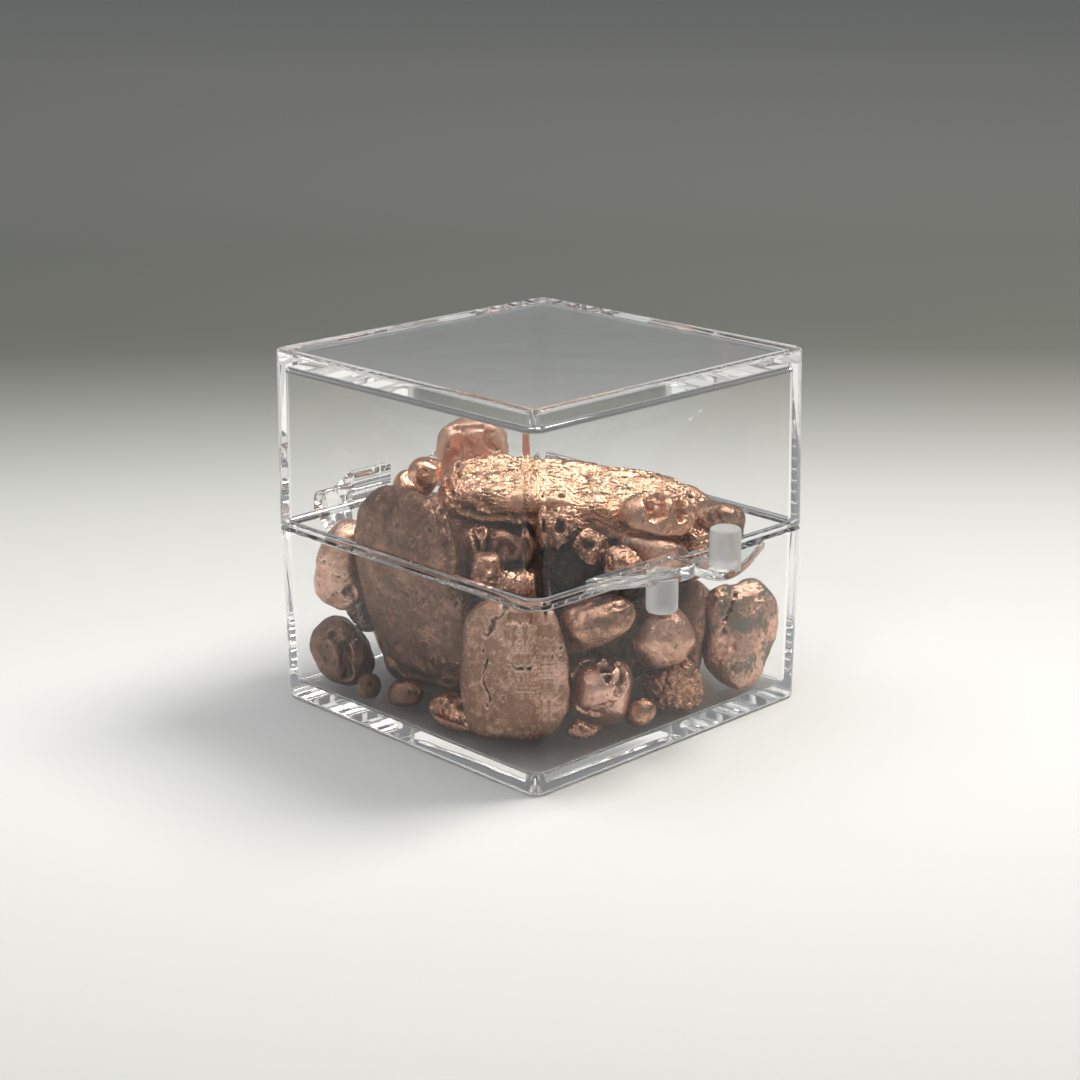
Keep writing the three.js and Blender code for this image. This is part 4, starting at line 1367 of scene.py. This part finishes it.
def sky_light(strength):
    """The world's light, which changes with the height above the horizon."""
    finish = Finish(bpy.data.worlds.new("sky"), "ShaderNodeBackground", "ShaderNodeOutputWorld")
    direction = finish.node("ShaderNodeTexCoord", {}, {})
    height = finish.node("ShaderNodeSeparateXYZ", {}, {0: direction.outputs["Generated"]})
    stops = [(at, tuple(level * part for part in SKY_TONE)) for at, level in SKY_STOPS]
    ramp = finish.node("ShaderNodeValToRGB", {"stops": stops}, {0: height.outputs["Z"]})
    finish.connect(finish.shader, {"Color": ramp.outputs[0], "Strength": strength})
    return finish.owner


def add_lamp(name, towards, distance, size, radiance, tone):
    """A rectangular lamp that faces the box from a direction, with the power that gives its
    radiance."""
    data = bpy.data.lights.new(name, "AREA")
    data.shape = "RECTANGLE"
    data.size, data.size_y = size[0] * MM, size[1] * MM
    data.energy = math.pi * data.size * data.size_y * radiance
    data.color = tone
    towards = towards / np.linalg.norm(towards)
    side = np.cross((0, 0, 1), towards)
    side = side / np.linalg.norm(side)
    place = np.array([0, 0, AIM_HEIGHT]) + towards * distance
    lamp = add_object(name, data)
    lamp.matrix_world = placed([side, np.cross(towards, side), towards], place)


def add_camera():
    """The camera that took the photo."""
    data = bpy.data.cameras.new("camera")
    data.sensor_width = SENSOR_WIDTH
    data.lens = SENSOR_WIDTH * FOCAL_PIXELS / PHOTO_SIDE
    data.clip_start, data.clip_end = CLIP_NEAR, CLIP_FAR
    camera = add_object("camera", data)
    camera.matrix_world = placed([RIGHT, UP, BACK], EYE)
    bpy.context.scene.camera = camera


# Operators


class NUGGETS_OT_stage(bpy.types.Operator):
    """Floor, lamps, sky and camera"""

    bl_idname = "nuggets.stage"
    bl_label = "Stage"

    def execute(self, context):
        looks = context.scene.nugget_stage
        reach = FLOOR_REACH
        points = np.array([[-reach, -reach], [reach, -reach], [reach, reach], [-reach, reach]])
        points = np.column_stack([points, np.full(4, -FLOOR_DROP)])
        mesh = mesh_of_quads("floor", points, np.array([[0, 1, 2, 3]]))
        mesh.materials.append(floor_finish(looks))
        add_object("floor", mesh)
        view = np.array([RIGHT * (1, 1, 0), -BACK * (1, 1, 0), (0.0, 0.0, 1.0)])
        for key, (shares, distance, sides, tone) in LAMPS.items():
            add_lamp(key + " lamp", shares @ view, distance, sides, getattr(looks, key), tone)
        context.scene.world = sky_light(looks.sky)
        context.scene.view_settings.view_transform = "Standard"
        context.scene.view_settings.exposure = EXPOSURE
        cycles = context.scene.cycles
        cycles.max_bounces = MOST_BOUNCES
        cycles.transmission_bounces = MOST_BOUNCES
        cycles.glossy_bounces = MOST_BOUNCES
        add_camera()
        return {"FINISHED"}


class NUGGETS_OT_box(bpy.types.Operator):
    """The clear base and the clear lid, each one solid with its catch and hinge parts"""

    bl_idname = "nuggets.box"
    bl_label = "Clear box"

    def execute(self, context):
        sizes = context.scene.nugget_box
        at = box_heights(sizes)
        plastics = (
            clear_plastic("clear plastic", roughness=0.0, marks=0.03, whiteness=0.985, clearness=1.0),
            clear_plastic("frosted plastic", roughness=0.45, marks=0.1, whiteness=0.99, clearness=0.65),
        )
        base_parts = [
            tab(at, 1, at.base_top - BASE_TAB_THICKNESS, BASE_TAB_THICKNESS, plastics),
            peg(at, BASE_PEG_X, at.base_top - PEG_ROOT, at.base_top + BASE_PEG_HEIGHT, plastics),
        ]
        for span in both_sides(BRACKET_SPAN):
            base_parts.append(bracket(at, span))
        for span in both_sides((HOOK_SPAN[0], BRACKET_SPAN[0] + PIN_ROOT)):
            base_parts.append(bar(PIN_RADIUS, span))
        base = combine(closed_tube("clear_base", base_shell(sizes), plastics), base_parts, "UNION")
        give(finish_plastic(base), "base", ["box_base"])
        lid_parts = [
            tab(at, -1, at.lid_rim, LID_TAB_THICKNESS, plastics),
            peg(at, LID_PEG_X, at.lid_rim + PEG_ROOT, at.lid_rim - LID_PEG_HEIGHT, plastics),
        ]
        for span in both_sides(HOOK_SPAN):
            lid_parts.append(hook(at, span))
        lid = combine(closed_tube("clear_lid", lid_shell(sizes), plastics), lid_parts, "UNION")
        give(finish_plastic(lid), "lid", ["box_lid"])
        return {"FINISHED"}


class NUGGETS_OT_heap(bpy.types.Operator):
    """Every copper nugget of the heap"""

    bl_idname = "nuggets.heap"
    bl_label = "Nuggets"

    def execute(self, context):
        finishes = copper_finishes(context.scene.nugget_colours)
        for name in NUGGETS:
            build_nugget(name, finishes, context.scene.nugget_box)
        return {"FINISHED"}


class NUGGETS_PT_panel(bpy.types.Panel):
    """Lists the operators and their settings in the 3D view's sidebar"""

    bl_label = "Copper nuggets"
    bl_idname = "NUGGETS_PT_panel"
    bl_space_type = "VIEW_3D"
    bl_region_type = "UI"
    bl_category = "Nuggets"

    def draw(self, context):
        for operator, settings in PANEL_ROWS:
            part = self.layout.box()
            part.operator(operator.bl_idname)
            group = getattr(context.scene, settings)
            for key in type(group).__annotations__:
                part.prop(group, key)


PANEL_ROWS = (
    (NUGGETS_OT_stage, "nugget_stage"),
    (NUGGETS_OT_box, "nugget_box"),
    (NUGGETS_OT_heap, "nugget_colours"),
)
SETTINGS = {"nugget_stage": StageLooks, "nugget_box": BoxSizes, "nugget_colours": CopperColours}
CLASSES = (*SETTINGS.values(), NUGGETS_OT_stage, NUGGETS_OT_box, NUGGETS_OT_heap, NUGGETS_PT_panel)


def register():
    for item in CLASSES:
        bpy.utils.register_class(item)
    for name, group in SETTINGS.items():
        setattr(bpy.types.Scene, name, bpy.props.PointerProperty(type=group))


def unregister():
    for name in SETTINGS:
        delattr(bpy.types.Scene, name)
    for item in reversed(CLASSES):
        bpy.utils.unregister_class(item)


def main():
    """Builds the stage, the clear box and the heap of nuggets."""
    register()
    bpy.ops.nuggets.stage()
    bpy.ops.nuggets.box()
    bpy.ops.nuggets.heap()


if __name__ == "__main__":
    main()
